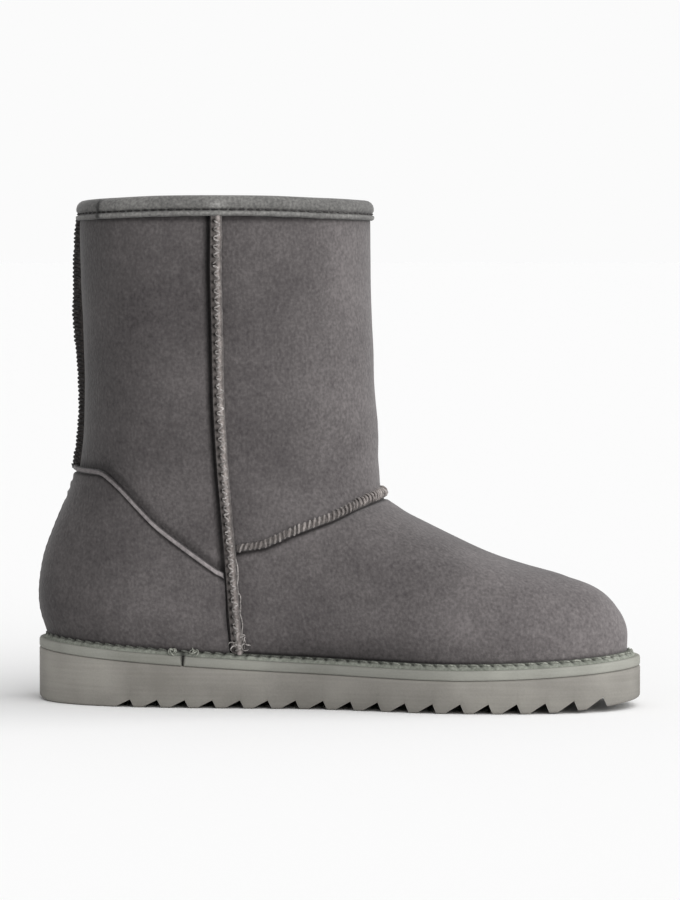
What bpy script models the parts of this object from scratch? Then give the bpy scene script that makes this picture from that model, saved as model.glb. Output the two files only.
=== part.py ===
"""A short left sheepskin boot on a ridged foam sole, for Blender 4.5.

Run it with blender --background --python part.py, or from Blender's text editor.
Units are metres. The toe points along +X, +Y is the outer side of the foot and +Z is up.
The origin is on the floor, under the middle of the sole.

The upper is one surface, read from a table of sections. Each section is a closed loop that runs
from the heel, or the back of the shaft, to the toe, or the front of the shaft. A place on the
surface is a turn round the loop and a level up the sections. Every overlay, seam and edge takes
its place from that same surface, so it follows the last when a size changes.
"""

import math
from collections import namedtuple

import bmesh
import bpy
import numpy as np

MM = 0.001

# Sole
SOLE_LENGTH = 270 * MM
BALL_WIDTH = 100 * MM
WAIST_WIDTH = 81 * MM
HEEL_WIDTH = 77 * MM
TOE_SWING = 9 * MM
HEEL_THICKNESS = 28 * MM
BALL_THICKNESS = 18.6 * MM
TOE_SPRING = 4.2 * MM
HEEL_LIFT = 1.2 * MM
RIM_THICKNESS = 4.2 * MM
RIM_GROOVE = 0.8 * MM
SOLE_ROUNDING = 1.4 * MM
RIM_ROUNDING = 0.7 * MM
TREAD_PITCH = 12.24 * MM
TREAD_DEPTH = 3.4 * MM
TREAD_DEEPENING = 1.2 * MM
TREAD_RAMP = 7.2 * MM
TREAD_LEAN = 1.8 * MM
HEEL_PAD = 47 * MM
TOE_PAD = 14.5 * MM

# Upper
BOOT_HEIGHT = 225 * MM
INSTEP_RISE = 70.5 * MM
SHAFT_DEPTH = 130 * MM
SHAFT_WIDTH = 104 * MM
SHAFT_PLACE = -0.187 * SOLE_LENGTH
COLLAR_CROWN = 1.8 * MM
UPPER_WALL = 3 * MM
LEDGE = 5.6 * MM

# Trim
COUNTER_THICKNESS = 1.3 * MM
COUNTER_EDGE = 0.9 * MM
COUNTER_EDGE_WIDTH = 2.2 * MM
COUNTER_HEIGHT = 104.5 * MM
COUNTER_FOOT = 57 * MM
SEAM_WIDTH = 5 * MM
SEAM_HEIGHT = 2 * MM
INSTEP_SEAM_WIDTH = 4.5 * MM
INSTEP_SEAM_FOOT = 70 * MM
BACK_SEAM_WIDTH = 4 * MM
BACK_SEAM_HEIGHT = 5 * MM
HEEL_SEAM_WIDTH = 4.5 * MM
HEEL_SEAM_HEIGHT = 0.8 * MM
HEEL_SEAM_TOP = 88 * MM
BINDING_DROP = 9.2 * MM
BINDING_ROLL = 8 * MM
BINDING_THICKNESS = 1.3 * MM
WELT_HEIGHT = 2.4 * MM
WELT_WIDTH = 3.2 * MM
INSOLE_THICKNESS = 5 * MM

# Clearance between pieces that touch on the real boot
GAP = 0.3 * MM

# How finely the solids are cut
ROUND_STEPS = 52
SOLE_STEPS = 64
ROWS_PER_SECTION = 2
COUNTER_STEPS = 13
COUNTER_ROWS = 14
SEAM_PITCH = 5.5 * MM

# Shares of a loop's length where its width is measured
HEEL_STATION = 0.15
WAIST_STATION = 0.45
BALL_STATION = 0.72

# Shares of SOLE_LENGTH from the heel: where the heel's lift ends, the toe spring starts, the
# wedge of the sole runs out and its top starts to rise to the toe
LIFT_END = 0.035
SPRING_START = 0.80
WEDGE_END = 0.75
TOP_RISE_START = 0.68
WEDGE_FALL = 1.9

# A loop seen from above: half-widths at the three stations, and how blunt its two ends are,
# where 2 is an ellipse
Outline = namedtuple("Outline", "heel waist ball tail nose")
SOLE_TAIL = 5.0
SOLE_NOSE = 3.3

# The foot's sections, from the heel's bulge up to the instep seam. back and front are shares of
# SOLE_LENGTH from its middle, the rises are shares of INSTEP_RISE above the sole, heel is a
# share of HEEL_WIDTH, and waist and ball are shares of BALL_WIDTH. swing is how much of the
# toe's inward curve a loop has, and hug how closely it follows the sole's hollow top.
FootSection = namedtuple(
    "FootSection", "back back_rise front front_rise heel waist ball tail nose swing hug"
)
FOOT_SECTIONS = (
    FootSection(-0.4905, 0.232, 0.4730, 0.194, 0.478, 0.392, 0.478, 4.2, 3.1, 1.00, 0.90),
    FootSection(-0.4830, 0.479, 0.4390, 0.355, 0.466, 0.415, 0.464, 3.4, 2.8, 0.90, 0.70),
    FootSection(-0.4655, 0.687, 0.3700, 0.488, 0.455, 0.435, 0.436, 2.9, 2.5, 0.70, 0.50),
    FootSection(-0.4460, 0.885, 0.2741, 0.602, 0.457, 0.452, 0.416, 2.6, 2.3, 0.45, 0.30),
    FootSection(-0.4325, 1.055, 0.1852, 0.742, 0.470, 0.466, 0.408, 2.4, 2.1, 0.25, 0.15),
    FootSection(-0.4265, 1.197, 0.1093, 0.885, 0.487, 0.480, 0.411, 2.3, 2.0, 0.10, 0.05),
    FootSection(-0.4237, 1.325, 0.0715, 1.000, 0.500, 0.490, 0.425, 2.2, 2.0, 0.00, 0.00),
)

# The shaft's sections, up to the collar. back and front are shares of SHAFT_DEPTH from
# SHAFT_PLACE, rise is a share of the way from the last foot section to the collar, and heel,
# waist and ball are shares of SHAFT_WIDTH.
ShaftSection = namedtuple("ShaftSection", "back front rise heel waist ball tail nose")
SHAFT_SECTIONS = (
    ShaftSection(-0.489, 0.511, 0.104, 0.376, 0.479, 0.420, 2.2, 2.0),
    ShaftSection(-0.488, 0.515, 0.250, 0.380, 0.484, 0.430, 2.2, 2.0),
    ShaftSection(-0.494, 0.505, 0.485, 0.383, 0.488, 0.436, 2.2, 2.0),
    ShaftSection(-0.500, 0.495, 0.755, 0.385, 0.495, 0.440, 2.2, 2.0),
    ShaftSection(-0.500, 0.495, 1.000, 0.385, 0.500, 0.442, 2.2, 2.0),
)
INSTEP_SECTION = len(FOOT_SECTIONS)
COLLAR_SECTION = INSTEP_SECTION + len(SHAFT_SECTIONS)

# The side seam, as (share of BOOT_HEIGHT, distance from SHAFT_PLACE as a share of SOLE_LENGTH)
SIDE_SEAM = ((0.08, 0.038), (0.32, 0.026), (0.60, 0.014), (0.86, 0.010), (1.00, 0.012))

# The instep seam, as (share of the way from the side seam to the shaft's front, share of the
# rise from its foot on the side seam to the instep)
INSTEP_SEAM = ((0.0, 0.0), (0.24, 0.12), (0.42, 0.34), (0.69, 0.63), (0.83, 0.82), (1.0, 1.0))

# The counter's top edge, as (share of the way from the back to the side seam, share of the drop
# from COUNTER_HEIGHT to COUNTER_FOOT)
COUNTER_TOP = ((0.0, 0.0), (0.22, 0.0), (0.33, 0.13), (0.55, 0.48), (1.0, 1.0))

# How far the back seam stands out, as (share of the way down it, share of BACK_SEAM_HEIGHT)
BACK_SEAM = ((0.0, 0.5), (0.38, 1.0), (0.75, 0.6), (1.0, 0.75))

# A raised seam's cross-section, as (share of its width from the middle, share of its height)
RIDGE_PROFILE = ((-0.5, 0.0), (-0.46, 0.62), (-0.2, 1.0), (0.2, 1.0), (0.46, 0.62), (0.5, 0.0))

# The binding's rounded outside, from its inner leg over the top to its outer leg, as (share of
# BINDING_ROLL from the inside, share of BINDING_DROP from the top)
BINDING_PROFILE = ((0.0, 1.0), (0.0, 0.35), (0.22, 0.06), (0.5, 0.0), (0.87, 0.1), (1.0, 0.38))

SUEDE = (0.105, 0.098, 0.098, 1.0)
SEAM_EDGE = (0.190, 0.172, 0.160, 1.0)
FOAM = (0.225, 0.225, 0.200, 1.0)
RIM_FOAM = (0.260, 0.272, 0.245, 1.0)
WELT_TAPE = (0.060, 0.066, 0.060, 1.0)
FLEECE = (0.300, 0.290, 0.280, 1.0)
BINDING_TAPE = (0.150, 0.147, 0.140, 1.0)


def between(table, share):
    """The second column of a two-column table, read on straight lines at a share in the first."""
    firsts, seconds = zip(*table)
    return np.interp(share, firsts, seconds)


def smooth(share):
    """A share from 0 to 1, eased at both ends."""
    share = np.clip(share, 0.0, 1.0)
    return share * share * (3 - 2 * share)


def from_heel(x):
    """How far along the sole x is, from 0 at the heel to 1 at the toe."""
    return x / SOLE_LENGTH + 0.5


def sole_bottom(x):
    """Height of the sole's walking face: level, but for a lift at the heel and a toe spring."""
    along = from_heel(x)
    heel = np.maximum(0.0, 1 - along / LIFT_END)
    toe = np.maximum(0.0, (along - SPRING_START) / (1 - SPRING_START))
    return HEEL_LIFT * heel**2 + TOE_SPRING * toe**2


def sole_top(x):
    """Height of the sole's top: a wedge that falls from the heel to the ball, then rises."""
    along = from_heel(x)
    wedge = np.maximum(0.0, 1 - along / WEDGE_END) ** WEDGE_FALL
    toe = np.maximum(0.0, (along - TOP_RISE_START) / (1 - TOP_RISE_START))
    return BALL_THICKNESS + (HEEL_THICKNESS - BALL_THICKNESS) * wedge + TOE_SPRING * toe**2


def half_width(share, outline):
    """Half-width of a loop at a share of its length, round at both ends."""

    def closing(at):
        across = 2 * at - 1
        bluntness = np.where(across < 0, outline.tail, outline.nose)
        return np.sqrt(np.maximum(0.0, 1 - np.abs(across) ** bluntness))

    heel = outline.heel / closing(HEEL_STATION)
    waist = outline.waist / closing(WAIST_STATION)
    ball = outline.ball / closing(BALL_STATION)
    rear = smooth((share - HEEL_STATION) / (WAIST_STATION - HEEL_STATION))
    fore = smooth((share - WAIST_STATION) / (BALL_STATION - WAIST_STATION))
    return closing(share) * (heel + (waist - heel) * rear + (ball - waist) * fore)


def centre_line(share):
    """The foot's curve, in toe swings: a little outwards at the waist, inwards at the toe."""
    return 2.6 * share**2 * (1 - share) - share**3


def sole_edge(turn, inset=0.0):
    """Point of the sole's outline. turn is 0 at the heel and pi at the toe, outer side first."""
    outline = Outline(HEEL_WIDTH / 2, WAIST_WIDTH / 2, BALL_WIDTH / 2, SOLE_TAIL, SOLE_NOSE)

    def edge(at):
        share = (1 - np.cos(at)) / 2
        y = np.sign(np.sin(at)) * half_width(share, outline) + TOE_SWING * centre_line(share)
        return np.stack([(share - 0.5) * SOLE_LENGTH, y], axis=-1)

    step = 1e-3
    along = edge(turn + step) - edge(turn - step)
    inward = np.stack([along[..., 1], -along[..., 0]], axis=-1)
    return edge(turn) + inset * inward / np.linalg.norm(inward, axis=-1, keepdims=True)


def section_rows():
    """Every section in metres, from the edge on the sole to the collar."""
    heel_seat = sole_top(LEDGE - SOLE_LENGTH / 2) + GAP
    toe_seat = sole_top(SOLE_LENGTH / 2 - LEDGE) + GAP
    rows = [[
        LEDGE - SOLE_LENGTH / 2, heel_seat, SOLE_LENGTH / 2 - LEDGE, toe_seat,
        HEEL_WIDTH / 2 - LEDGE, WAIST_WIDTH / 2 - LEDGE, BALL_WIDTH / 2 - LEDGE,
        SOLE_TAIL, SOLE_NOSE, TOE_SWING, 1.0, 0.0,
    ]]
    for row in FOOT_SECTIONS:
        rows.append([
            row.back * SOLE_LENGTH, heel_seat + row.back_rise * INSTEP_RISE,
            row.front * SOLE_LENGTH, toe_seat + row.front_rise * INSTEP_RISE,
            row.heel * HEEL_WIDTH, row.waist * BALL_WIDTH, row.ball * BALL_WIDTH,
            row.tail, row.nose, row.swing * TOE_SWING, row.hug, 0.0,
        ])
    back_start, front_start = rows[-1][1], rows[-1][3]
    collar = BOOT_HEIGHT - BINDING_THICKNESS - GAP - COLLAR_CROWN
    for row in SHAFT_SECTIONS:
        rows.append([
            SHAFT_PLACE + row.back * SHAFT_DEPTH, back_start + row.rise * (collar - back_start),
            SHAFT_PLACE + row.front * SHAFT_DEPTH, front_start + row.rise * (collar - front_start),
            row.heel * SHAFT_WIDTH, row.waist * SHAFT_WIDTH, row.ball * SHAFT_WIDTH,
            row.tail, row.nose, 0.0, 0.0, COLLAR_CROWN * row.rise,
        ])
    return np.array(rows)


ROWS = section_rows()
EXTENDED_ROWS = np.vstack([2 * ROWS[0] - ROWS[1], ROWS, 2 * ROWS[-1] - ROWS[-2]])


def section_at(level):
    """The section at a level, on a smooth curve through the rows: level 0 is on the sole."""
    level = np.asarray(level, dtype=float)
    lower = np.clip(np.floor(level).astype(int), 0, COLLAR_SECTION - 1)
    part = (level - lower)[..., None]
    below, here, above, beyond = (EXTENDED_ROWS[lower + i] for i in range(4))
    return 0.5 * (
        2 * here
        + (above - below) * part
        + (2 * below - 5 * here + 4 * above - beyond) * part**2
        + (3 * here - below - 3 * above + beyond) * part**3
    )


def surface(turn, level):
    """Point of the upper's outer face. turn is 0 at the back and pi at the front."""
    section = np.moveaxis(section_at(level), -1, 0)
    back, back_z, front, front_z = section[:4]
    outline = Outline(*section[4:9])
    swing, hug, crown = section[9:]
    share = (1 - np.cos(turn)) / 2
    x = back + share * (front - back)
    y = np.sign(np.sin(turn)) * half_width(share, outline) + swing * centre_line(share)
    straight = sole_top(back) + share * (sole_top(front) - sole_top(back))
    hollow = hug * (sole_top(x) - straight)
    z = back_z + share * (front_z - back_z) + hollow + crown * 4 * share * (1 - share)
    return np.stack([x, y, z], axis=-1)


def surface_axes(turn, level):
    """The directions round and up the surface at a place, and the unit normal out of it."""
    step = 1e-3
    around = (surface(turn + step, level) - surface(turn - step, level)) / (2 * step)
    upward = (surface(turn, level + step) - surface(turn, level - step)) / (2 * step)
    normal = np.cross(upward, around)
    return around, upward, normal / np.linalg.norm(normal, axis=-1, keepdims=True)


def shell(turn, level, out=0.0):
    """Point a distance out from the upper's outer face; a negative distance is inside it."""
    return surface(turn, level) + np.asarray(out)[..., None] * surface_axes(turn, level)[2]


def step_along(turn, level, move):
    """The turn and level that a small move along the surface leads to."""
    around, upward, _ = surface_axes(turn, level)
    round_round = (around * around).sum(-1)
    round_up = (around * upward).sum(-1)
    up_up = (upward * upward).sum(-1)
    round_move = (around * move).sum(-1)
    up_move = (upward * move).sum(-1)
    spread = round_round * up_up - round_up**2
    turn_step = (up_up * round_move - round_up * up_move) / spread
    level_step = (round_round * up_move - round_up * round_move) / spread
    return turn + turn_step, level + level_step


def climb(place, height):
    """The level at which place(level), a point of the surface, reaches a height."""
    low = np.zeros(np.shape(height))
    high = low + COLLAR_SECTION
    for _ in range(40):
        middle = (low + high) / 2
        is_below = place(middle)[..., 2] < height
        low = np.where(is_below, middle, low)
        high = np.where(is_below, high, middle)
    return (low + high) / 2


def level_at_height(turn, height):
    """The level where the surface reaches a height, going up at one turn."""
    return climb(lambda level: surface(turn, level), height)


def turn_at(x, level):
    """The turn on the outer side where a loop passes x."""
    section = section_at(level)
    share = (x - section[..., 0]) / (section[..., 2] - section[..., 0])
    return np.arccos(1 - 2 * np.clip(share, 0.0, 1.0))


def seen_from_side(x, height):
    """The turn and level of the place on the outer side that a side view has at x and height."""
    level = climb(lambda level: surface(turn_at(x, level), level), height)
    return turn_at(x, level), level


def side_seam_x(height):
    return SHAFT_PLACE + SOLE_LENGTH * between(SIDE_SEAM, height / BOOT_HEIGHT)


def welt_level(turn, extra=0.0):
    """The level of the welt's top edge, or of a height above it."""
    return level_at_height(turn, surface(turn, np.zeros_like(turn))[..., 2] + WELT_HEIGHT + extra)


def turns(count):
    return 2 * math.pi * np.arange(count) / count


def make_object(name, built, colour, roughness, boot):
    """Links a finished bmesh as a named object with its own material, under the boot's empty."""
    bmesh.ops.recalc_face_normals(built, faces=built.faces)
    mesh = bpy.data.meshes.new(name)
    built.to_mesh(mesh)
    built.free()
    mesh.shade_smooth()
    mesh.set_sharp_from_angle(angle=math.radians(40))
    material = bpy.data.materials.new(name)
    material.use_nodes = True
    shader = material.node_tree.nodes["Principled BSDF"]
    shader.inputs["Base Color"].default_value = colour
    shader.inputs["Roughness"].default_value = roughness
    shader.inputs["Metallic"].default_value = 0.0
    mesh.materials.append(material)
    made = bpy.data.objects.new(name, mesh)
    bpy.context.scene.collection.objects.link(made)
    made.parent = boot
    return made


def stitch(built, first, second):
    """Quads between two closed rings with the same number of corners."""
    count = len(first)
    for i in range(count):
        j = (i + 1) % count
        built.faces.new((first[i], first[j], second[j], second[i]))


def skin(rings, is_wrapped):
    """A bmesh over closed rings. Wrapped, the last ring joins the first; else the ends are capped."""
    built = bmesh.new()
    corners = [[built.verts.new(point) for point in ring] for ring in rings]
    for first, second in zip(corners, corners[1:]):
        stitch(built, first, second)
    if is_wrapped:
        stitch(built, corners[-1], corners[0])
    else:
        built.faces.new(corners[0])
        built.faces.new(corners[-1])
    return built


def slab(rings):
    """A bmesh from a bottom ring to a top ring, through those between. Its two faces are strips
    straight across, so that they can curve along the sole."""
    built = bmesh.new()
    corners = [[built.verts.new(point) for point in ring] for ring in rings]
    for first, second in zip(corners, corners[1:]):
        stitch(built, first, second)
    for ring in (corners[0], corners[-1]):
        count = len(ring)
        for i in range(count // 2):
            across = [ring[i], ring[i + 1], ring[count - i - 1], ring[(count - i) % count]]
            built.faces.new(list(dict.fromkeys(across)))
    return built


def sole_ring(inset, height):
    """A ring at an inset from the sole's edge. height gives its height at x."""
    edge = sole_edge(turns(SOLE_STEPS), inset)
    return np.column_stack([edge, height(edge[:, 0])])


def rim_bottom(x):
    return sole_top(x) - RIM_THICKNESS


def tread_cutters():
    """One mesh of saw-tooth wedges across the sole, each a ramp that ends in a steep face."""
    built = bmesh.new()
    first = HEEL_PAD - SOLE_LENGTH / 2
    last = SOLE_LENGTH / 2 - TOE_PAD
    below = -2 * TREAD_DEPTH
    for x in np.arange(first, last, TREAD_PITCH):
        start, end = x - TREAD_RAMP, x + TREAD_LEAN
        depth = TREAD_DEPTH + TREAD_DEEPENING * smooth(from_heel(x))
        profile = [
            (start, sole_bottom(start)),
            (x, sole_bottom(x) + depth),
            (end, sole_bottom(end)),
            (end, below),
            (start, below),
        ]
        inner = [built.verts.new((x, -BALL_WIDTH, z)) for x, z in profile]
        outer = [built.verts.new((x, BALL_WIDTH, z)) for x, z in profile]
        built.faces.new(inner)
        built.faces.new(outer)
        stitch(built, inner, outer)
    return built


def make_outsole(boot):
    """The foam sole's body: upright sides, a rounded lower edge and the saw-tooth tread."""

    def top(x):
        return rim_bottom(x) - GAP

    rings = [
        sole_ring(SOLE_ROUNDING, sole_bottom),
        sole_ring(0.3 * SOLE_ROUNDING, lambda x: sole_bottom(x) + 0.3 * SOLE_ROUNDING),
        sole_ring(0.0, lambda x: sole_bottom(x) + SOLE_ROUNDING),
        sole_ring(0.0, lambda x: top(x) - RIM_GROOVE),
        sole_ring(RIM_GROOVE, top),
    ]
    outsole = make_object("outsole", slab(rings), FOAM, 0.75, boot)
    cutter = make_object("tread_cutter", tread_cutters(), FOAM, 0.75, boot)
    cutter.hide_render = True
    cutter.display_type = "WIRE"
    cut = outsole.modifiers.new("tread", "BOOLEAN")
    cut.operation = "DIFFERENCE"
    cut.solver = "EXACT"
    cut.object = cutter


def make_sole_rim(boot):
    """The thin upper layer of the sole, over a groove, with a softened top edge."""
    rings = [
        sole_ring(RIM_GROOVE, rim_bottom),
        sole_ring(0.0, lambda x: rim_bottom(x) + RIM_GROOVE),
        sole_ring(0.0, lambda x: sole_top(x) - RIM_ROUNDING),
        sole_ring(RIM_ROUNDING, sole_top),
    ]
    make_object("sole_rim", slab(rings), RIM_FOAM, 0.7, boot)


def make_insole(boot):
    """The footbed, lying on the sole inside the upper."""
    turn = turns(ROUND_STEPS)
    edge = shell(turn, np.zeros_like(turn), -UPPER_WALL - 3 * GAP)
    edge[:, 2] = sole_top(edge[:, 0]) + GAP
    top = edge + (0.0, 0.0, INSOLE_THICKNESS)
    make_object("insole", slab([edge, top]), FLEECE, 0.95, boot)


def make_upper(boot):
    """The hollow upper, open at the collar and underneath, with its wall's real thickness."""
    outer = np.linspace(0, COLLAR_SECTION, COLLAR_SECTION * ROWS_PER_SECTION + 1)
    inner = np.linspace(COLLAR_SECTION, 0, COLLAR_SECTION + 1)
    sections = []
    for turn in turns(ROUND_STEPS):
        outside = shell(turn, outer)
        inside = shell(turn, inner, -UPPER_WALL)
        sections.append(np.vstack([outside, inside]))
    make_object("upper", skin(sections, is_wrapped=True), SUEDE, 0.95, boot)


def make_welt(boot):
    """The stitched strip that closes the corner between upper and sole."""
    turn = turns(ROUND_STEPS)
    foot = shell(turn, np.zeros_like(turn), GAP)
    foot[:, 2] = sole_top(foot[:, 0]) + GAP
    top = shell(turn, welt_level(turn), GAP)
    rim = sole_edge(turn, LEDGE - GAP - WELT_WIDTH)
    edge = np.column_stack([rim, sole_top(rim[:, 0]) + GAP])
    shoulder = edge + (0.0, 0.0, 0.4 * WELT_HEIGHT)
    crest = np.column_stack([top[:, :2] + 0.3 * (rim - top[:, :2]), top[:, 2]])
    sections = np.stack([foot, top, crest, shoulder, edge], axis=1)
    make_object("welt", skin(sections, is_wrapped=True), WELT_TAPE, 0.85, boot)


def make_heel_counter(boot):
    """The overlay round the heel, from side seam to side seam, with a raised cut edge on top."""
    beside_seam = SEAM_WIDTH / 2 + 2 * GAP
    back = surface(0.0, level_at_height(0.0, COUNTER_HEIGHT))[0]
    seam = side_seam_x(COUNTER_FOOT)
    share = np.abs(np.linspace(-1, 1, 2 * COUNTER_STEPS + 1))
    side = np.where(np.arange(len(share)) < COUNTER_STEPS, -1.0, 1.0)
    top_x = back + (seam - beside_seam - back) * smooth(share / 2) / smooth(0.5)
    drop = between(COUNTER_TOP, (top_x - back) / (seam - back))
    top_height = COUNTER_HEIGHT + (COUNTER_FOOT - COUNTER_HEIGHT) * drop
    top_turn, top_level = seen_from_side(top_x, top_height)
    foot_x = side_seam_x(surface(math.pi / 2, 0.0)[2]) - beside_seam
    foot_turn = share * turn_at(foot_x, welt_level(math.pi / 2))
    foot_level = welt_level(foot_turn, 1.5 * GAP)
    edge_share = COUNTER_EDGE_WIDTH / (top_height - surface(foot_turn, foot_level)[:, 2])
    sections = []
    for i in range(len(share)):
        below_edge = np.linspace(0, 1 - 1.5 * edge_share[i], COUNTER_ROWS - 2)
        rise = np.append(below_edge, [1 - edge_share[i], 1.0])
        raised = COUNTER_EDGE * (rise > below_edge[-1])
        turn = side[i] * (foot_turn[i] + (top_turn[i] - foot_turn[i]) * rise)
        level = foot_level[i] + (top_level[i] - foot_level[i]) * rise
        inner = shell(turn, level, 1.5 * GAP)
        outer = shell(turn, level, GAP + COUNTER_THICKNESS + raised)
        sections.append(np.vstack([inner, outer[::-1]]))
    make_object("heel_counter", skin(sections, is_wrapped=False), SUEDE, 0.95, boot)


def ridge(turn, level, width, heights, under):
    """A raised seam along a path of places, standing a distance off the surface."""
    ahead = np.gradient(surface(turn, level), axis=0)
    aside = np.cross(surface_axes(turn, level)[2], ahead)
    aside /= np.linalg.norm(aside, axis=-1, keepdims=True)
    corners = []
    for across, up in RIDGE_PROFILE:
        beside = step_along(turn, level, across * width * aside)
        corners.append(shell(*beside, under + up * heights))
    return skin(np.stack(corners, axis=1), is_wrapped=False)


def seam_heights(top, bottom):
    return np.linspace(top, bottom, int((top - bottom) / SEAM_PITCH))


def make_side_seams(boot):
    """The overlocked seams down both sides, from under the binding to above the welt."""
    foot_turn = turn_at(side_seam_x(0.0), 0.0)
    bottom = surface(foot_turn, welt_level(foot_turn, 2 * GAP))[2]
    height = seam_heights(BOOT_HEIGHT - BINDING_DROP - 2 * GAP, bottom)
    turn, level = seen_from_side(side_seam_x(height), height)
    heights = np.full_like(height, SEAM_HEIGHT)
    for name, side in (("side_seam_outer", 1), ("side_seam_inner", -1)):
        built = ridge(side * turn, level, SEAM_WIDTH, heights, GAP)
        make_object(name, built, SEAM_EDGE, 0.9, boot)


def make_instep_seam(boot):
    """The seam between vamp and shaft, from one side seam over the instep to the other."""
    start = side_seam_x(INSTEP_SEAM_FOOT) + SEAM_WIDTH / 2 + 2 * GAP
    front, front_height = ROWS[INSTEP_SECTION][2:4]
    share = np.sin(np.linspace(0, math.pi / 2, 16))[:-1]
    height = INSTEP_SEAM_FOOT + (front_height - INSTEP_SEAM_FOOT) * between(INSTEP_SEAM, share)
    turn, level = seen_from_side(start + (front - start) * share, height)
    turn = np.concatenate([turn, [math.pi], 2 * math.pi - turn[::-1]])
    level = np.concatenate([level, [INSTEP_SECTION], level[::-1]])
    heights = np.full_like(level, SEAM_HEIGHT)
    built = ridge(turn, level, INSTEP_SEAM_WIDTH, heights, 2 * GAP)
    make_object("instep_seam", built, SEAM_EDGE, 0.9, boot)


def make_back_seam(boot):
    """The proud seam up the middle of the shaft's back."""
    top = BOOT_HEIGHT - BINDING_DROP - COLLAR_CROWN - 2 * GAP
    height = seam_heights(top, COUNTER_HEIGHT + 2 * GAP)
    turn = np.zeros_like(height)
    heights = BACK_SEAM_HEIGHT * between(BACK_SEAM, np.linspace(0, 1, len(height)))
    built = ridge(turn, level_at_height(turn, height), BACK_SEAM_WIDTH, heights, GAP)
    make_object("back_seam", built, SEAM_EDGE, 0.9, boot)


def make_heel_seam(boot):
    """The low seam down the middle of the heel counter."""
    height = seam_heights(HEEL_SEAM_TOP, surface(0.0, welt_level(0.0, 2 * GAP))[2])
    turn = np.zeros_like(height)
    heights = np.full_like(height, HEEL_SEAM_HEIGHT)
    under = COUNTER_THICKNESS + 2.5 * GAP
    built = ridge(turn, level_at_height(turn, height), HEEL_SEAM_WIDTH, heights, under)
    make_object("heel_seam", built, SUEDE, 0.9, boot)


def make_collar_binding(boot):
    """The rolled strip over the collar: an outer leg, a round top and an inner leg."""
    turn = turns(ROUND_STEPS)
    collar = np.full_like(turn, COLLAR_SECTION)
    top = surface(turn, collar)
    outward = surface_axes(turn, collar)[2] * (1, 1, 0)
    outward /= np.linalg.norm(outward, axis=-1, keepdims=True)
    crest = GAP + BINDING_THICKNESS
    inside = crest - BINDING_ROLL
    edge = level_at_height(turn, top[:, 2] + crest - BINDING_DROP)

    def hung(out, drop):
        return top + out * outward + (0.0, 0.0, crest - drop)

    corners = [
        shell(turn, edge, GAP),
        hung(GAP, BINDING_THICKNESS),
        hung(inside + BINDING_THICKNESS, BINDING_THICKNESS),
        hung(inside + BINDING_THICKNESS, BINDING_DROP),
    ]
    for across, drop in BINDING_PROFILE:
        corners.append(hung(inside + across * BINDING_ROLL, drop * BINDING_DROP))
    corners.append(shell(turn, edge, GAP + BINDING_THICKNESS))
    sections = np.stack(corners, axis=1)
    make_object("collar_binding", skin(sections, is_wrapped=True), BINDING_TAPE, 0.9, boot)


def main():
    for old in list(bpy.data.objects):
        bpy.data.objects.remove(old)
    boot = bpy.data.objects.new("boot", None)
    bpy.context.scene.collection.objects.link(boot)
    make_outsole(boot)
    make_sole_rim(boot)
    make_insole(boot)
    make_upper(boot)
    make_welt(boot)
    make_heel_counter(boot)
    make_side_seams(boot)
    make_instep_seam(boot)
    make_back_seam(boot)
    make_heel_seam(boot)
    make_collar_binding(boot)


main()
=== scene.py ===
# %% [markdown]
# A short sheepskin boot for the left foot, dressed for its picture.
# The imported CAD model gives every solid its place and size. This script gives the same boot its
# suede, seams, stitches, fleece and foam, each as a mesh that takes the place of a plain solid.
# Blender could also do this with a sculpted mesh, but a boot that is worked out from a few
# sections can be measured, changed and explained.

import math
from collections import namedtuple

import bmesh
import bpy
import numpy as np
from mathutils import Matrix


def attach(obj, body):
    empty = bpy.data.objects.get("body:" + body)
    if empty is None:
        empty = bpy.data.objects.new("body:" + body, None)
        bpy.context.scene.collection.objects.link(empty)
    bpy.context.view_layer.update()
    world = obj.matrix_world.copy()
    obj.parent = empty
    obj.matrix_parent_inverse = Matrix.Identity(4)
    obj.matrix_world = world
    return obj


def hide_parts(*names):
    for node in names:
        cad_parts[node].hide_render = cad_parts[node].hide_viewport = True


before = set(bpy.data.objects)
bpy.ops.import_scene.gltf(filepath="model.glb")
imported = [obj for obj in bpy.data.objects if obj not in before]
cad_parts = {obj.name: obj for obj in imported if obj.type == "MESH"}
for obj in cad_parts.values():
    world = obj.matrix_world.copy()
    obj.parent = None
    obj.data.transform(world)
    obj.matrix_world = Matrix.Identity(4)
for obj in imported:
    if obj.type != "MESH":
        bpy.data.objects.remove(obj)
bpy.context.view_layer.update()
MM = 0.001
UP = np.array([0, 0, 1])

# %% [markdown]
# The camera stands low and to the inner side of the boot, a little towards the toe, as the
# photographer's did: 21 cm above the floor and 1.88 m away. A long lens fills the frame.
# The light is a bright, even studio: a white surround, and one broad light from the toe's side
# and above, which leaves the back of the shaft darker than the toe. The broad light is a sun
# with a wide angle, because a sun lights the whole floor alike and gives soft shadows.

# %% Camera, light and floor
CAMERA_TURN = math.radians(6.5)
CAMERA_HEIGHT = 210 * MM
CAMERA_DISTANCE = 1880 * MM
AIM = (0.7 * MM, 0.0, 112 * MM)
LENS_MM = 167.8
SENSOR_HEIGHT_MM = 36
SURROUND_LIGHT = 0.5
SURROUND_SEEN = 0.965
KEY_STRENGTH = 2.85
KEY_ANGLE = math.radians(100)
KEY_FROM = (0.75, -0.30, 0.59)
FLOOR_RADIUS = 25.0


def linear(code):
    """An sRGB hex colour as the linear RGBA that Blender's sockets take."""
    shares = [int(code[i:i + 2], 16) / 255 for i in (1, 3, 5)]
    return [s / 12.92 if s <= 0.04045 else ((s + 0.055) / 1.055) ** 2.4 for s in shares] + [1.0]


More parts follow.
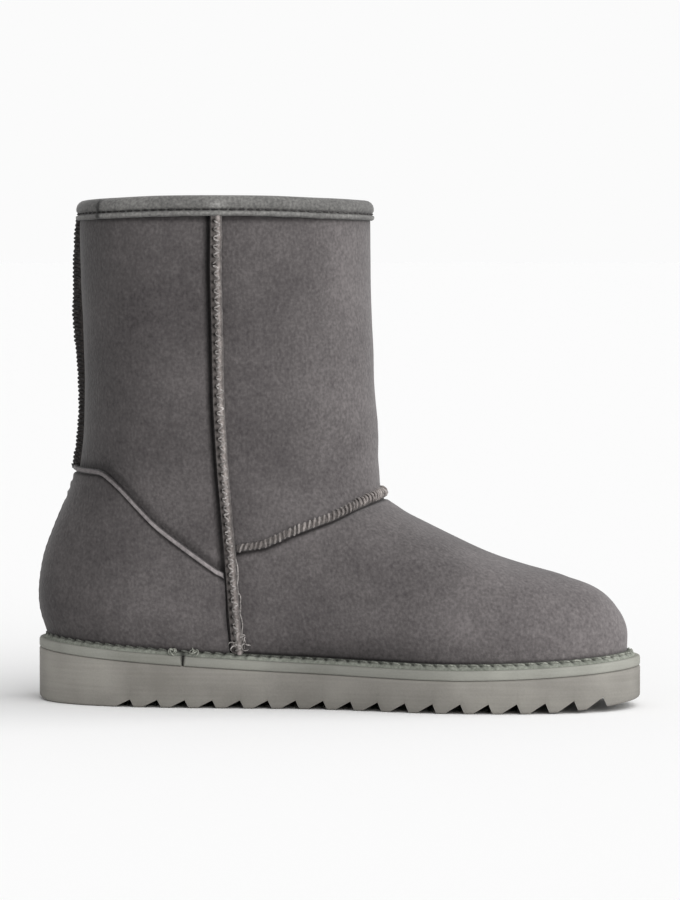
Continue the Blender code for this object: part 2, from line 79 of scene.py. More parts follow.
def add_node(tree, kind, settings=None, inputs=None):
    """Adds a node. Settings are its own properties. An input is a value or another's socket."""
    node = tree.nodes.new(kind)
    for key, value in (settings or {}).items():
        setattr(node, key, value)
    for key, value in (inputs or {}).items():
        if isinstance(value, bpy.types.NodeSocket):
            tree.links.new(value, node.inputs[key])
        else:
            node.inputs[key].default_value = value
    return node


def aim_at(thing, start, target):
    """Puts a camera or a light at a start, turned so that it looks at a target."""
    along = np.subtract(target, start)
    flat = math.hypot(along[0], along[1])
    thing.location = start
    thing.rotation_euler = (math.atan2(flat, -along[2]), 0.0, math.atan2(-along[0], along[1]))


scene = bpy.context.scene
scene.view_settings.view_transform = "Standard"

lens = bpy.data.cameras.new("camera")
lens.sensor_fit = "VERTICAL"
lens.sensor_height = SENSOR_HEIGHT_MM
lens.lens = LENS_MM
camera = bpy.data.objects.new("camera", lens)
scene.collection.objects.link(camera)
scene.camera = camera
reach = math.sqrt(CAMERA_DISTANCE**2 - CAMERA_HEIGHT**2)
stand = (reach * math.sin(CAMERA_TURN), -reach * math.cos(CAMERA_TURN), CAMERA_HEIGHT)
aim_at(camera, stand, AIM)

sun = bpy.data.lights.new("broad_key_light", "SUN")
sun.energy = KEY_STRENGTH
sun.angle = KEY_ANGLE
key = bpy.data.objects.new("broad_key_light", sun)
scene.collection.objects.link(key)
aim_at(key, KEY_FROM, (0.0, 0.0, 0.0))

surround = bpy.data.worlds.new("white_surround")
scene.world = surround
surround.use_nodes = True
sky = surround.node_tree
sky.nodes.clear()
is_seen = add_node(sky, "ShaderNodeLightPath").outputs["Is Camera Ray"]
# Inputs 3 and 4 are the ends of the range that comes out
strength = add_node(
    sky, "ShaderNodeMapRange", inputs={0: is_seen, 3: SURROUND_LIGHT, 4: SURROUND_SEEN}
)
glow = add_node(
    sky, "ShaderNodeBackground",
    inputs={"Color": linear("#ffffff"), "Strength": strength.outputs[0]},
)
add_node(sky, "ShaderNodeOutputWorld", inputs={"Surface": glow.outputs[0]})

paper = bpy.data.materials.new("matt_paper_floor")
paper.use_nodes = True
paper_shader = paper.node_tree.nodes["Principled BSDF"]
paper_shader.inputs["Base Color"].default_value = linear("#f7f7f7")
paper_shader.inputs["Roughness"].default_value = 1.0
paper_shader.inputs["Specular IOR Level"].default_value = 0.0
floor_form = bmesh.new()
bmesh.ops.create_circle(floor_form, cap_ends=True, segments=64, radius=FLOOR_RADIUS)
floor_mesh = bpy.data.meshes.new("floor")
floor_form.to_mesh(floor_mesh)
floor_form.free()
floor_mesh.materials.append(paper)
floor = bpy.data.objects.new("floor", floor_mesh)
scene.collection.objects.link(floor)
print("camera at mm", [round(v / MM) for v in stand])

# %% [markdown]
# The boot's last is the wooden foot that it is made over. Here it is a table of closed loops,
# from the edge on the sole to the collar, the same as in the CAD source. The loops tilt less
# and less as they climb, so a place on the surface is two numbers: a turn round the loop, with 0
# at the back and pi at the front, and a level up the loops. Smooth surfaces through few sections
# give the long, quiet curves of soft leather, which a box or a cylinder can't.

# %% The boot's named sizes
SOLE_LENGTH = 270 * MM
BALL_WIDTH = 100 * MM
WAIST_WIDTH = 81 * MM
HEEL_WIDTH = 77 * MM
TOE_SWING = 9 * MM
HEEL_THICKNESS = 28 * MM
BALL_THICKNESS = 18.6 * MM
TOE_SPRING = 4.2 * MM
HEEL_LIFT = 1.2 * MM
RIM_THICKNESS = 4.2 * MM
TREAD_PITCH = 12.24 * MM
TREAD_DEPTH = 3.4 * MM
TREAD_DEEPENING = 1.2 * MM
TREAD_RAMP = 7.2 * MM
TREAD_LEAN = 1.8 * MM
HEEL_PAD = 47 * MM
TOE_PAD = 14.5 * MM
BOOT_HEIGHT = 225 * MM
INSTEP_RISE = 70.5 * MM
SHAFT_DEPTH = 130 * MM
SHAFT_WIDTH = 104 * MM
SHAFT_PLACE = -0.187 * SOLE_LENGTH
COLLAR_CROWN = 1.8 * MM
UPPER_WALL = 3 * MM
LEDGE = 5.6 * MM
COUNTER_THICKNESS = 1.3 * MM
COUNTER_HEIGHT = 104.5 * MM
COUNTER_FOOT = 57 * MM
SEAM_WIDTH = 5 * MM
INSTEP_SEAM_FOOT = 70 * MM
BINDING_DROP = 9.2 * MM
BINDING_THICKNESS = 1.3 * MM
WELT_HEIGHT = 2.4 * MM
WELT_WIDTH = 3.2 * MM
INSOLE_THICKNESS = 5 * MM
GAP = 0.3 * MM

HEEL_STATION = 0.15
WAIST_STATION = 0.45
BALL_STATION = 0.72
LIFT_END = 0.035
SPRING_START = 0.80
WEDGE_END = 0.75
TOP_RISE_START = 0.68
WEDGE_FALL = 1.9
SOLE_TAIL = 5.0
SOLE_NOSE = 3.3

Outline = namedtuple("Outline", "heel waist ball tail nose")
SOLE_OUTLINE = Outline(HEEL_WIDTH / 2, WAIST_WIDTH / 2, BALL_WIDTH / 2, SOLE_TAIL, SOLE_NOSE)
FootSection = namedtuple(
    "FootSection", "back back_rise front front_rise heel waist ball tail nose swing hug"
)
FOOT_SECTIONS = (
    FootSection(-0.4905, 0.232, 0.4730, 0.194, 0.478, 0.392, 0.478, 4.2, 3.1, 1.00, 0.90),
    FootSection(-0.4830, 0.479, 0.4390, 0.355, 0.466, 0.415, 0.464, 3.4, 2.8, 0.90, 0.70),
    FootSection(-0.4655, 0.687, 0.3700, 0.488, 0.455, 0.435, 0.436, 2.9, 2.5, 0.70, 0.50),
    FootSection(-0.4460, 0.885, 0.2741, 0.602, 0.457, 0.452, 0.416, 2.6, 2.3, 0.45, 0.30),
    FootSection(-0.4325, 1.055, 0.1852, 0.742, 0.470, 0.466, 0.408, 2.4, 2.1, 0.25, 0.15),
    FootSection(-0.4265, 1.197, 0.1093, 0.885, 0.487, 0.480, 0.411, 2.3, 2.0, 0.10, 0.05),
    FootSection(-0.4237, 1.325, 0.0715, 1.000, 0.500, 0.490, 0.425, 2.2, 2.0, 0.00, 0.00),
)
ShaftSection = namedtuple("ShaftSection", "back front rise heel waist ball tail nose")
SHAFT_SECTIONS = (
    ShaftSection(-0.489, 0.511, 0.104, 0.376, 0.479, 0.420, 2.2, 2.0),
    ShaftSection(-0.488, 0.515, 0.250, 0.380, 0.484, 0.430, 2.2, 2.0),
    ShaftSection(-0.494, 0.505, 0.485, 0.383, 0.488, 0.436, 2.2, 2.0),
    ShaftSection(-0.500, 0.495, 0.755, 0.385, 0.495, 0.440, 2.2, 2.0),
    ShaftSection(-0.500, 0.495, 1.000, 0.385, 0.500, 0.442, 2.2, 2.0),
)
INSTEP_SECTION = len(FOOT_SECTIONS)
COLLAR_SECTION = INSTEP_SECTION + len(SHAFT_SECTIONS)
SIDE_SEAM = ((0.08, 0.038), (0.32, 0.026), (0.60, 0.014), (0.86, 0.010), (1.00, 0.012))
INSTEP_SEAM = ((0.0, 0.0), (0.24, 0.12), (0.42, 0.34), (0.69, 0.63), (0.83, 0.82), (1.0, 1.0))
COUNTER_TOP = ((0.0, 0.0), (0.22, 0.0), (0.33, 0.13), (0.55, 0.48), (1.0, 1.0))
BACK_SEAM = ((0.0, 0.5), (0.38, 1.0), (0.75, 0.6), (1.0, 0.75))
print("sections", COLLAR_SECTION + 1)

# %% [markdown]
# The sole is a wedge: thick under the heel, thin at the ball and curled up a little at the toe.
# Seen from above it is one smooth loop, wide at the ball and drawn in at the waist. It could be
# traced by hand as a curve. Here it is worked out from a few widths, because the rim, the welt,
# the upper's edge and the footbed all need the same loop again, each a little further in.

# %% The sole's outline and heights
def between(table, share):
    """The second column of a two-column table, read on straight lines at a share in the first."""
    firsts, seconds = zip(*table)
    return np.interp(share, firsts, seconds)


def smooth(share):
    """A share from 0 to 1, eased at both ends."""
    share = np.clip(share, 0.0, 1.0)
    return share * share * (3 - 2 * share)


def eased(length, start, width):
    """Grows smoothly from 0 to 1 as a length goes on from a start by a width, both in mm."""
    return smooth((length - start * MM) / (width * MM))


def from_heel(x):
    """How far along the sole x is, from 0 at the heel to 1 at the toe."""
    return x / SOLE_LENGTH + 0.5


def sole_bottom(x):
    """Height of the sole's walking face, with its lift at the heel and its toe spring."""
    along = from_heel(x)
    heel = np.maximum(0.0, 1 - along / LIFT_END)
    toe = np.maximum(0.0, (along - SPRING_START) / (1 - SPRING_START))
    return HEEL_LIFT * heel**2 + TOE_SPRING * toe**2


def sole_top(x):
    """Height of the sole's top: a wedge that falls from the heel to the ball, then rises."""
    along = from_heel(x)
    wedge = np.maximum(0.0, 1 - along / WEDGE_END) ** WEDGE_FALL
    toe = np.maximum(0.0, (along - TOP_RISE_START) / (1 - TOP_RISE_START))
    return BALL_THICKNESS + (HEEL_THICKNESS - BALL_THICKNESS) * wedge + TOE_SPRING * toe**2


def half_width(share, outline):
    """Half-width of a loop at a share of its length, round at both ends."""

    def closing(at):
        across = 2 * at - 1
        bluntness = np.where(across < 0, outline.tail, outline.nose)
        return np.sqrt(np.maximum(0.0, 1 - np.abs(across) ** bluntness))

    heel = outline.heel / closing(HEEL_STATION)
    waist = outline.waist / closing(WAIST_STATION)
    ball = outline.ball / closing(BALL_STATION)
    rear = smooth((share - HEEL_STATION) / (WAIST_STATION - HEEL_STATION))
    fore = smooth((share - WAIST_STATION) / (BALL_STATION - WAIST_STATION))
    return closing(share) * (heel + (waist - heel) * rear + (ball - waist) * fore)


def centre_line(share):
    """The foot's curve, in toe swings: a little outwards at the waist, inwards at the toe."""
    return 2.6 * share**2 * (1 - share) - share**3


def unit(vectors):
    return vectors / np.linalg.norm(vectors, axis=-1, keepdims=True)


def sole_edge(turn, inset=0.0):
    """Point of the sole's outline, at an inset. turn is 0 at the heel and pi at the toe."""

    def edge(at):
        share = (1 - np.cos(at)) / 2
        y = np.sign(np.sin(at)) * half_width(share, SOLE_OUTLINE) + TOE_SWING * centre_line(share)
        return np.stack([(share - 0.5) * SOLE_LENGTH, y], axis=-1)

    step = 1e-3
    along = edge(turn + step) - edge(turn - step)
    inward = np.stack([along[..., 1], -along[..., 0]], axis=-1)
    return edge(turn) + np.asarray(inset)[..., None] * unit(inward)


def turns(count):
    return 2 * math.pi * np.arange(count) / count


print("heel and toe heights in mm", np.round(sole_top(np.array([-0.135, 0.135])) / MM, 1))

# %% [markdown]
# Between its sections the last is a smooth curve, so any place on it can be asked for. Seams are
# best given by their height, or as they look from the side. Such a place has no formula, so it
# is closed in on by halving, which always ends and needs no first guess.

# %% The last: a place on the upper's surface
def section_rows():
    """Every section in metres, from the edge on the sole to the collar."""
    heel_seat = sole_top(LEDGE - SOLE_LENGTH / 2) + GAP
    toe_seat = sole_top(SOLE_LENGTH / 2 - LEDGE) + GAP
    rows = [[
        LEDGE - SOLE_LENGTH / 2, heel_seat, SOLE_LENGTH / 2 - LEDGE, toe_seat,
        HEEL_WIDTH / 2 - LEDGE, WAIST_WIDTH / 2 - LEDGE, BALL_WIDTH / 2 - LEDGE,
        SOLE_TAIL, SOLE_NOSE, TOE_SWING, 1.0, 0.0,
    ]]
    for row in FOOT_SECTIONS:
        rows.append([
            row.back * SOLE_LENGTH, heel_seat + row.back_rise * INSTEP_RISE,
            row.front * SOLE_LENGTH, toe_seat + row.front_rise * INSTEP_RISE,
            row.heel * HEEL_WIDTH, row.waist * BALL_WIDTH, row.ball * BALL_WIDTH,
            row.tail, row.nose, row.swing * TOE_SWING, row.hug, 0.0,
        ])
    back_start, front_start = rows[-1][1], rows[-1][3]
    collar = BOOT_HEIGHT - BINDING_THICKNESS - GAP - COLLAR_CROWN
    for row in SHAFT_SECTIONS:
        rows.append([
            SHAFT_PLACE + row.back * SHAFT_DEPTH, back_start + row.rise * (collar - back_start),
            SHAFT_PLACE + row.front * SHAFT_DEPTH, front_start + row.rise * (collar - front_start),
            row.heel * SHAFT_WIDTH, row.waist * SHAFT_WIDTH, row.ball * SHAFT_WIDTH,
            row.tail, row.nose, 0.0, 0.0, COLLAR_CROWN * row.rise,
        ])
    return np.array(rows)


ROWS = section_rows()
EXTENDED_ROWS = np.vstack([2 * ROWS[0] - ROWS[1], ROWS, 2 * ROWS[-1] - ROWS[-2]])


def section_at(level):
    """The section at a level, on a smooth curve through the rows: level 0 is on the sole."""
    level = np.asarray(level, dtype=float)
    lower = np.clip(np.floor(level).astype(int), 0, COLLAR_SECTION - 1)
    part = (level - lower)[..., None]
    below, here, above, beyond = (EXTENDED_ROWS[lower + i] for i in range(4))
    return 0.5 * (
        2 * here
        + (above - below) * part
        + (2 * below - 5 * here + 4 * above - beyond) * part**2
        + (3 * here - below - 3 * above + beyond) * part**3
    )


def surface(turn, level):
    """Point of the last's surface. turn is 0 at the back and pi at the front."""
    section = np.moveaxis(section_at(level), -1, 0)
    back, back_z, front, front_z = section[:4]
    outline = Outline(*section[4:9])
    swing, hug, crown = section[9:]
    share = (1 - np.cos(turn)) / 2
    x = back + share * (front - back)
    y = np.sign(np.sin(turn)) * half_width(share, outline) + swing * centre_line(share)
    straight = sole_top(back) + share * (sole_top(front) - sole_top(back))
    hollow = hug * (sole_top(x) - straight)
    z = back_z + share * (front_z - back_z) + hollow + crown * 4 * share * (1 - share)
    return np.stack([x, y, z], axis=-1)


def surface_axes(turn, level):
    """The directions round and up the surface at a place, and the unit normal out of it."""
    step = 1e-3
    around = (surface(turn + step, level) - surface(turn - step, level)) / (2 * step)
    upward = (surface(turn, level + step) - surface(turn, level - step)) / (2 * step)
    return around, upward, unit(np.cross(upward, around))


def shell(turn, level, out=0.0):
    """Point a distance out from the last; a negative distance is inside it."""
    return surface(turn, level) + np.asarray(out)[..., None] * surface_axes(turn, level)[2]


def climb(place, height):
    """The level at which place(level), a point of the surface, reaches a height."""
    low = np.zeros(np.shape(height))
    high = low + COLLAR_SECTION
    for _ in range(40):
        middle = (low + high) / 2
        is_below = place(middle)[..., 2] < height
        low = np.where(is_below, middle, low)
        high = np.where(is_below, high, middle)
    return (low + high) / 2


def level_at_height(turn, height):
    """The level where the surface reaches a height, going up at one turn."""
    return climb(lambda level: surface(turn, level), height)


def turn_at(x, level):
    """The turn on the outer side where a loop passes x."""
    section = section_at(level)
    share = (x - section[..., 0]) / (section[..., 2] - section[..., 0])
    return np.arccos(1 - 2 * np.clip(share, 0.0, 1.0))


def seen_from_side(x, height):
    """The turn and level of the place on the outer side that a side view has at x and height."""
    level = climb(lambda level: surface(turn_at(x, level), level), height)
    return turn_at(x, level), level


print("instep at mm", np.round(surface(math.pi, INSTEP_SECTION) / MM, 1))

# %% [markdown]
# Two seams cross the surface. The side seam runs from the collar to the sole, and the instep
# seam from its middle over the top of the foot. Both are worked out once as curves of turn and
# level, so that the skin's mesh can have an edge exactly along them, and the stitches follow.

# %% Where the seams run
SEAM_SAMPLES = 160


def side_seam_x(height):
    return SHAFT_PLACE + SOLE_LENGTH * between(SIDE_SEAM, height / BOOT_HEIGHT)


def welt_level(turn, extra=0.0):
    """The level of the welt's top edge, or of a height above it."""
    return level_at_height(turn, surface(turn, np.zeros_like(turn))[..., 2] + WELT_HEIGHT + extra)


seam_foot_z = surface(turn_at(side_seam_x(0.0), 0.0), 0.0)[2]
collar_side_z = surface(math.pi / 2, COLLAR_SECTION)[2]
side_z = np.linspace(seam_foot_z, collar_side_z, SEAM_SAMPLES)
SIDE_TURNS, SIDE_LEVELS = seen_from_side(side_seam_x(side_z), side_z)

instep_start_x = side_seam_x(INSTEP_SEAM_FOOT)
instep_front_x, instep_front_z = ROWS[INSTEP_SECTION][2:4]
instep_share = np.sin(np.linspace(0, math.pi / 2, SEAM_SAMPLES))[:-1]
instep_rise = between(INSTEP_SEAM, instep_share)
instep_z = INSTEP_SEAM_FOOT + (instep_front_z - INSTEP_SEAM_FOOT) * instep_rise
instep_x = instep_start_x + (instep_front_x - instep_start_x) * instep_share
INSTEP_TURNS, INSTEP_LEVELS = seen_from_side(instep_x, instep_z)
INSTEP_TURNS = np.append(INSTEP_TURNS, math.pi)
INSTEP_LEVELS = np.append(INSTEP_LEVELS, INSTEP_SECTION)


def folded(turn):
    """A turn on either side as the turn from 0 to pi that mirrors it on the outer side."""
    return np.arccos(np.cos(turn))


def side_seam_turn(level):
    return np.interp(level, SIDE_LEVELS, SIDE_TURNS)


def instep_seam_level(turn):
    return np.interp(folded(turn), INSTEP_TURNS, INSTEP_LEVELS)


print("instep seam level at the side", round(float(INSTEP_LEVELS[0]), 2))

# %% [markdown]
# Soft sheepskin is never as true as the last. It draws in beside each seam, where the thread
# pulls, swells a little between seams, and keeps shallow troughs where the foot bends it.
# That relief is one height above the last at every place, so everything that is sewn on rides
# on it too. The main creases are listed one by one, each as a soft trough along a line that is
# given as it is seen from the side. A trough with a negative depth is a soft ridge. Three of
# those make the boot fuller: one in front by the instep seam, one on the toe and one down the
# heel. A noise texture could dent the skin too, but not where a foot would.

# %% The relief of worn sheepskin
# Places, depth and width in mm. side is -1 on the inner side, 1 on the outer and 0 on both
Crease = namedtuple("Crease", "side x0 z0 x1 z1 depth width")
CREASES = (
    Crease(0, 12, 88, 34, 70, 0.9, 8),
    Crease(-1, 20, 66, 52, 42, 0.7, 9),
    Crease(1, 24, 62, 60, 44, 0.8, 9),
    Crease(-1, -98, 122, -62, 112, 0.7, 8),
    Crease(1, -96, 118, -60, 124, 0.7, 8),
    Crease(0, -6, 124, -26, 114, 0.8, 9),
    Crease(-1, -30, 150, 2, 142, 0.5, 12),
    Crease(1, -90, 160, -50, 150, 0.5, 12),
    Crease(-1, -112, 52, -96, 70, 0.5, 9),
    Crease(0, 17, 88, 18, 122, -1.9, 9),
    Crease(0, 46, 82, 90, 62, 0.9, 8),
    Crease(0, 106, 60, 126, 46, -1.7, 11),
    Crease(0, -130, 94, -134, 40, -1.3, 13),
)
GROOVE_DEPTH = 1.9 * MM
GROOVE_WIDTH = 1.5 * MM
GROOVE_PLACE = 3.8 * MM
UNDER_INSTEP = 2.7 * MM
DRAW_IN = 0.9 * MM
DRAW_WIDTH = 6 * MM
SWELL = 0.55 * MM
CREASE_FADE = 30 * MM
# Numbers with nothing in common, which scramble the place of a cell of the noise
SCRAMBLE = (127.1, 311.7, 74.7)
SCRAMBLE_SCALE = 43758.5453


def soft_noise(points, size, seed):
    """Smooth noise from -1 to 1 with lumps of about a size. It is the same on every run."""
    place = points / size
    cell = np.floor(place)
    part = smooth(place - cell)
    total = 0.0
    for corner in np.ndindex(2, 2, 2):
        weight = np.prod(np.where(corner, part, 1 - part), axis=-1)
        mixed = np.sin((cell + corner) @ SCRAMBLE + seed) * SCRAMBLE_SCALE
        total = total + weight * (mixed - np.floor(mixed))
    return 2 * total - 1


def bell(distance, width):
    """1 at no distance, and almost nothing from twice the width on."""
    return np.exp(-(distance / width) ** 2)


def trough(distance, width):
    """Like a bell, but flat across its middle and steeper at its sides."""
    return np.exp(-(distance / width) ** 4)


def beside_side_seam(turn, level):
    """How far a place is from the side seam: in front of it is positive."""
    around = np.linalg.norm(surface_axes(turn, level)[0], axis=-1)
    return (folded(turn) - side_seam_turn(level)) * around


def is_in_front(beside):
    """1 in front of the side seam and 0 behind it, blended over the seam's middle."""
    return smooth(0.5 + beside / (2 * MM))


def above_instep_seam(turn, level):
    """How far a place is above the instep seam."""
    upward = np.linalg.norm(surface_axes(turn, level)[1], axis=-1)
    return (level - instep_seam_level(turn)) * upward


def relief(turn, level):
    """Height of the skin over the last at a place."""
    points = surface(turn, level)
    beside = beside_side_seam(turn, level)
    above = above_instep_seam(turn, level)
    is_front = is_in_front(beside)
    height = 0.5 * MM * soft_noise(points, 42 * MM, 3.0)
    height = height + 0.16 * MM * soft_noise(points, 13 * MM, 5.0)
    height = height - DRAW_IN * bell(beside, DRAW_WIDTH)
    height = height - GROOVE_DEPTH * trough(beside + GROOVE_PLACE, GROOVE_WIDTH)
    height = height + SWELL * bell(np.abs(beside) - 3 * DRAW_WIDTH, 2 * DRAW_WIDTH)
    height = height - is_front * DRAW_IN * bell(above, DRAW_WIDTH)
    height = height - is_front * 0.5 * GROOVE_DEPTH * bell(above + UNDER_INSTEP, 1.1 * MM)
    for crease in CREASES:
        start = np.array([crease.x0, crease.z0]) * MM
        along = np.array([crease.x1, crease.z1]) * MM - start
        place = points[..., (0, 2)] - start
        share = np.clip(place @ along / (along @ along), 0, 1)
        away = np.linalg.norm(place - share[..., None] * along, axis=-1)
        fade = np.sin(np.pi * np.clip(0.15 + 0.7 * share, 0, 1))
        to_side = crease.side * points[..., 1] / CREASE_FADE
        on_side = 1.0 if crease.side == 0 else smooth(0.5 + to_side)
        height = height - on_side * fade * crease.depth * MM * bell(away, crease.width * MM)
    ends = smooth(level / 0.8) * smooth((COLLAR_SECTION - level) / 0.5)
    return height * ends


def skin(turn, level, out=0.0):
    """A point a distance out from the worn skin."""
    return shell(turn, level, relief(turn, level) + out)


print("relief at the vamp in mm", round(float(relief(2.4, 5.0) / MM), 2))

# %% [markdown]
# Every mesh here is made the same way: rows of points, joined by quads. One function makes the
# quads of such a grid, one makes an object with its material and a shade for each point, and
# one makes round threads. A shade is a number that the material multiplies its colour by, so
# that a hem can be darker than the panel beside it without a picture painted on it. Many of the
# shades below also paint shade and light into the colour.

# %% Helpers that make meshes
Form = namedtuple("Form", "points faces")


def grid_faces(rows, columns, rows_closed, columns_closed):
    """Quads of a grid of points. A closed way joins its last line to its first."""
    row = np.arange(rows if rows_closed else rows - 1)
    column = np.arange(columns if columns_closed else columns - 1)
    row, column = np.meshgrid(row, column, indexing="ij")
    above = (row + 1) % rows
    beside = (column + 1) % columns
    corners = (
        row * columns + column, row * columns + beside,
        above * columns + beside, above * columns + column,
    )
    return np.stack(corners, axis=-1).reshape(-1, 4).tolist()


def rings(points, is_wrapped):
    """A form over closed rings of points. Wrapped, the last joins the first; else it is capped."""
    rows, columns = points.shape[:2]
    faces = grid_faces(rows, columns, is_wrapped, True)
    if not is_wrapped:
        faces.append(list(range(columns)))
        faces.append(list(range((rows - 1) * columns, rows * columns)))
    return Form(points.reshape(-1, 3), faces)


def threads(paths, ups, radius, sides=6):
    """A form of one round thread along each path, narrower at its ends."""
    count, steps = paths.shape[:2]
    ahead = unit(np.gradient(paths, axis=1))
    aside = unit(np.cross(ahead, ups))
    upright = np.cross(aside, ahead)
    angle = turns(sides)[:, None]
    taper = np.maximum(0.3, 1 - np.linspace(-1, 1, steps) ** 6)[:, None, None]
    ring = np.cos(angle) * aside[:, :, None] + np.sin(angle) * upright[:, :, None]
    points = paths[:, :, None] + radius * taper * ring
    faces = []
    one = rings(points[0], False).faces
    for i in range(count):
        start = i * steps * sides
        faces.extend([start + corner for corner in face] for face in one)
    return Form(points.reshape(-1, 3), faces)


def wavering(form, size, reach):
    """The form with its points moved a little by smooth noise, as thread guided by hand is."""
    drift = np.stack([soft_noise(form.points, size, seed) for seed in (12.0, 13.0, 14.0)], axis=-1)
    return Form(form.points + reach * drift, form.faces)


def joined(forms):
    """Several forms as one."""
    points, faces, start = [], [], 0
    for form in forms:
        points.append(form.points)
        faces.extend([start + corner for corner in face] for face in form.faces)
        start += len(form.points)
    return Form(np.vstack(points), faces)


def mesh_of(name, form):
    """A form as a mesh whose faces all look outwards."""
    mesh = bpy.data.meshes.new(name)
    mesh.from_pydata(form.points.tolist(), [], form.faces)
    built = bmesh.new()
    built.from_mesh(mesh)
    bmesh.ops.recalc_face_normals(built, faces=built.faces)
    built.to_mesh(mesh)
    built.free()
    return mesh


def make_piece(name, form, material, shade=1.0, sharp=60, replaced=()):
    """Makes a form an object of the boot, which stands for the CAD nodes that are named."""
    mesh = mesh_of(name, form)
    shades = mesh.attributes.new("shade", "FLOAT", "POINT")
    shades.data.foreach_set("value", np.broadcast_to(shade, len(form.points)).astype(np.float32))
    mesh.shade_smooth()
    mesh.set_sharp_from_angle(angle=math.radians(sharp))
    mesh.materials.append(material)
    piece = bpy.data.objects.new(name, mesh)
    scene.collection.objects.link(piece)
    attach(piece, "root")
    if replaced:
        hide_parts(*replaced)
    mesh.calc_loop_triangles()
    print(name, len(mesh.loop_triangles), "triangles")
    return piece


# %% [markdown]
# Natural surfaces are never one colour. Each material here gets its colour and its small bumps
# from a table of noise patterns: how large its lumps are in mm, how much they tint and how much
# they stand out. One function turns such a table into nodes, so each material is a few numbers.

# %% Materials made of patterns
Pattern = namedtuple("Pattern", "size detail tone bump stretch", defaults=((1, 1, 1),))


def ramp(tree, value, stops):
    """A colour for a value, on a ramp of (place, hex colour) stops."""
    node = add_node(tree, "ShaderNodeValToRGB", inputs={0: value})
    band = node.color_ramp
    while len(band.elements) < len(stops):
        band.elements.new(0.5)
    for element, (place, code) in zip(band.elements, stops):
        element.position = place
        element.color = linear(code)
    return node.outputs["Color"]


def patterned(name, codes, spread, patterns, bump, roughness, specular, sheen=0.0):
    """A matt material. codes are its dark, middle and light colours, and spread is how far the
    outer two lie from the middle of the patterns' sum. bump is in mm. The colour is multiplied by
    the shade of each point of the mesh."""
    material = bpy.data.materials.new(name)
    material.use_nodes = True
    tree = material.node_tree
    shader = tree.nodes["Principled BSDF"]
    shader.inputs["Roughness"].default_value = roughness
    shader.inputs["Specular IOR Level"].default_value = specular
    shader.inputs["Sheen Weight"].default_value = sheen
    shader.inputs["Sheen Roughness"].default_value = 0.45
    place = add_node(tree, "ShaderNodeTexCoord").outputs["Object"]
    sums = [0.0, 0.0]
    for pattern in patterns:
        scale = [1 / (pattern.size * MM * times) for times in pattern.stretch]
        sized = add_node(tree, "ShaderNodeMapping", inputs={"Vector": place, "Scale": scale})
        noise = add_node(
            tree, "ShaderNodeTexNoise",
            inputs={"Vector": sized.outputs[0], "Scale": 1.0, "Detail": pattern.detail},
        )
        for i, share in enumerate((pattern.tone, pattern.bump)):
            added = add_node(
                tree, "ShaderNodeMath", {"operation": "MULTIPLY_ADD"},
                {0: noise.outputs[0], 1: share, 2: sums[i]},
            )
            sums[i] = added.outputs[0]
    stops = zip((0.5 - spread, 0.5, 0.5 + spread), codes)
    colour = ramp(tree, sums[0], tuple(stops))
    shade = add_node(tree, "ShaderNodeAttribute", {"attribute_name": "shade"}).outputs["Fac"]
    # Input 0 is the mix's share, and inputs 6 and 7 are its two colours
    mix = add_node(
        tree, "ShaderNodeMix", {"data_type": "RGBA", "blend_type": "MULTIPLY"},
        {0: 1.0, 6: colour, 7: shade},
    )
    tree.links.new(mix.outputs[2], shader.inputs["Base Color"])
    relieved = add_node(
        tree, "ShaderNodeBump", inputs={"Strength": 1.0, "Distance": bump * MM, "Height": sums[1]}
    )
    tree.links.new(relieved.outputs["Normal"], shader.inputs["Normal"])
    return material


# %% [markdown]
# Suede is the flesh side of the hide, buffed until its fibres stand up as a short nap. It has no
# gloss at all, and a thin sheen where the fibres are seen edge on. From afar it is even, with
# very soft clouds from the dye. Close by it has a grain of tufts, which lie mostly up and down
# because it was brushed that way. Real tufts are 0.1 to 0.2 mm wide. They are drawn about 1 mm
# wide here, because finer ones wouldn't show in the picture.

# %% Brushed suede
NAP = (
    Pattern(38, 2, 0.32, 0.0),
    Pattern(5, 3, 0.14, 0.4),
    Pattern(1.4, 2, 0.36, 1.0),
    Pattern(1.1, 2, 0.18, 0.3, (1, 1, 2.5)),
)
suede = patterned(
    "brushed_grey_suede", ("#494546", "#5f5b5b", "#757070"), 0.17, NAP, 0.25, 0.95, 0.1, 0.2
)
suede_edge = patterned(
    "raw_cut_suede_edge", ("#625d5b", "#8b8481", "#b5aeaa"), 0.15, NAP, 0.3, 0.95, 0.1, 0.3
)
print("suede", suede.name, suede_edge.name)

# %% [markdown]
# The upper is cut as a vamp, a front and a back for the shaft, and quarters. They meet at the
# seams, so one skin can stand for all of them as long as its mesh has an edge along each seam:
# then the skin can dip sharply there. The grid's columns are crowded beside the side seams and
# its rows beside the instep seam. A second, coarser face inside gives the leather its wall.
# The back panel is cut from a darker part of the hide, and the back of the boot is painted
# darker still as shade. The toe and the front of the shaft are painted paler as light, glue and
# dust leave a smudge low on the foot, and painted shade darkens the skin where it meets the
# welt. The furrow behind the side seam is so narrow that no light gets into it, and its painted
# shade is set here too, because a bump can't be that deep. So are the painted shadows under the
# instep seam, over the counter's edge and under the binding.

# %% The suede upper
BACK_COLUMNS = 70
FRONT_COLUMNS = 84
VAMP_ROWS = 110
SHAFT_ROWS = 120
WALL_ROWS = 12


def crowded(count):
    """Shares from 0 to 1 in a number of steps that are shorter near both ends."""
    share = np.linspace(0, 1, count + 1)
    return share - 0.75 * np.sin(2 * math.pi * share) / (2 * math.pi)


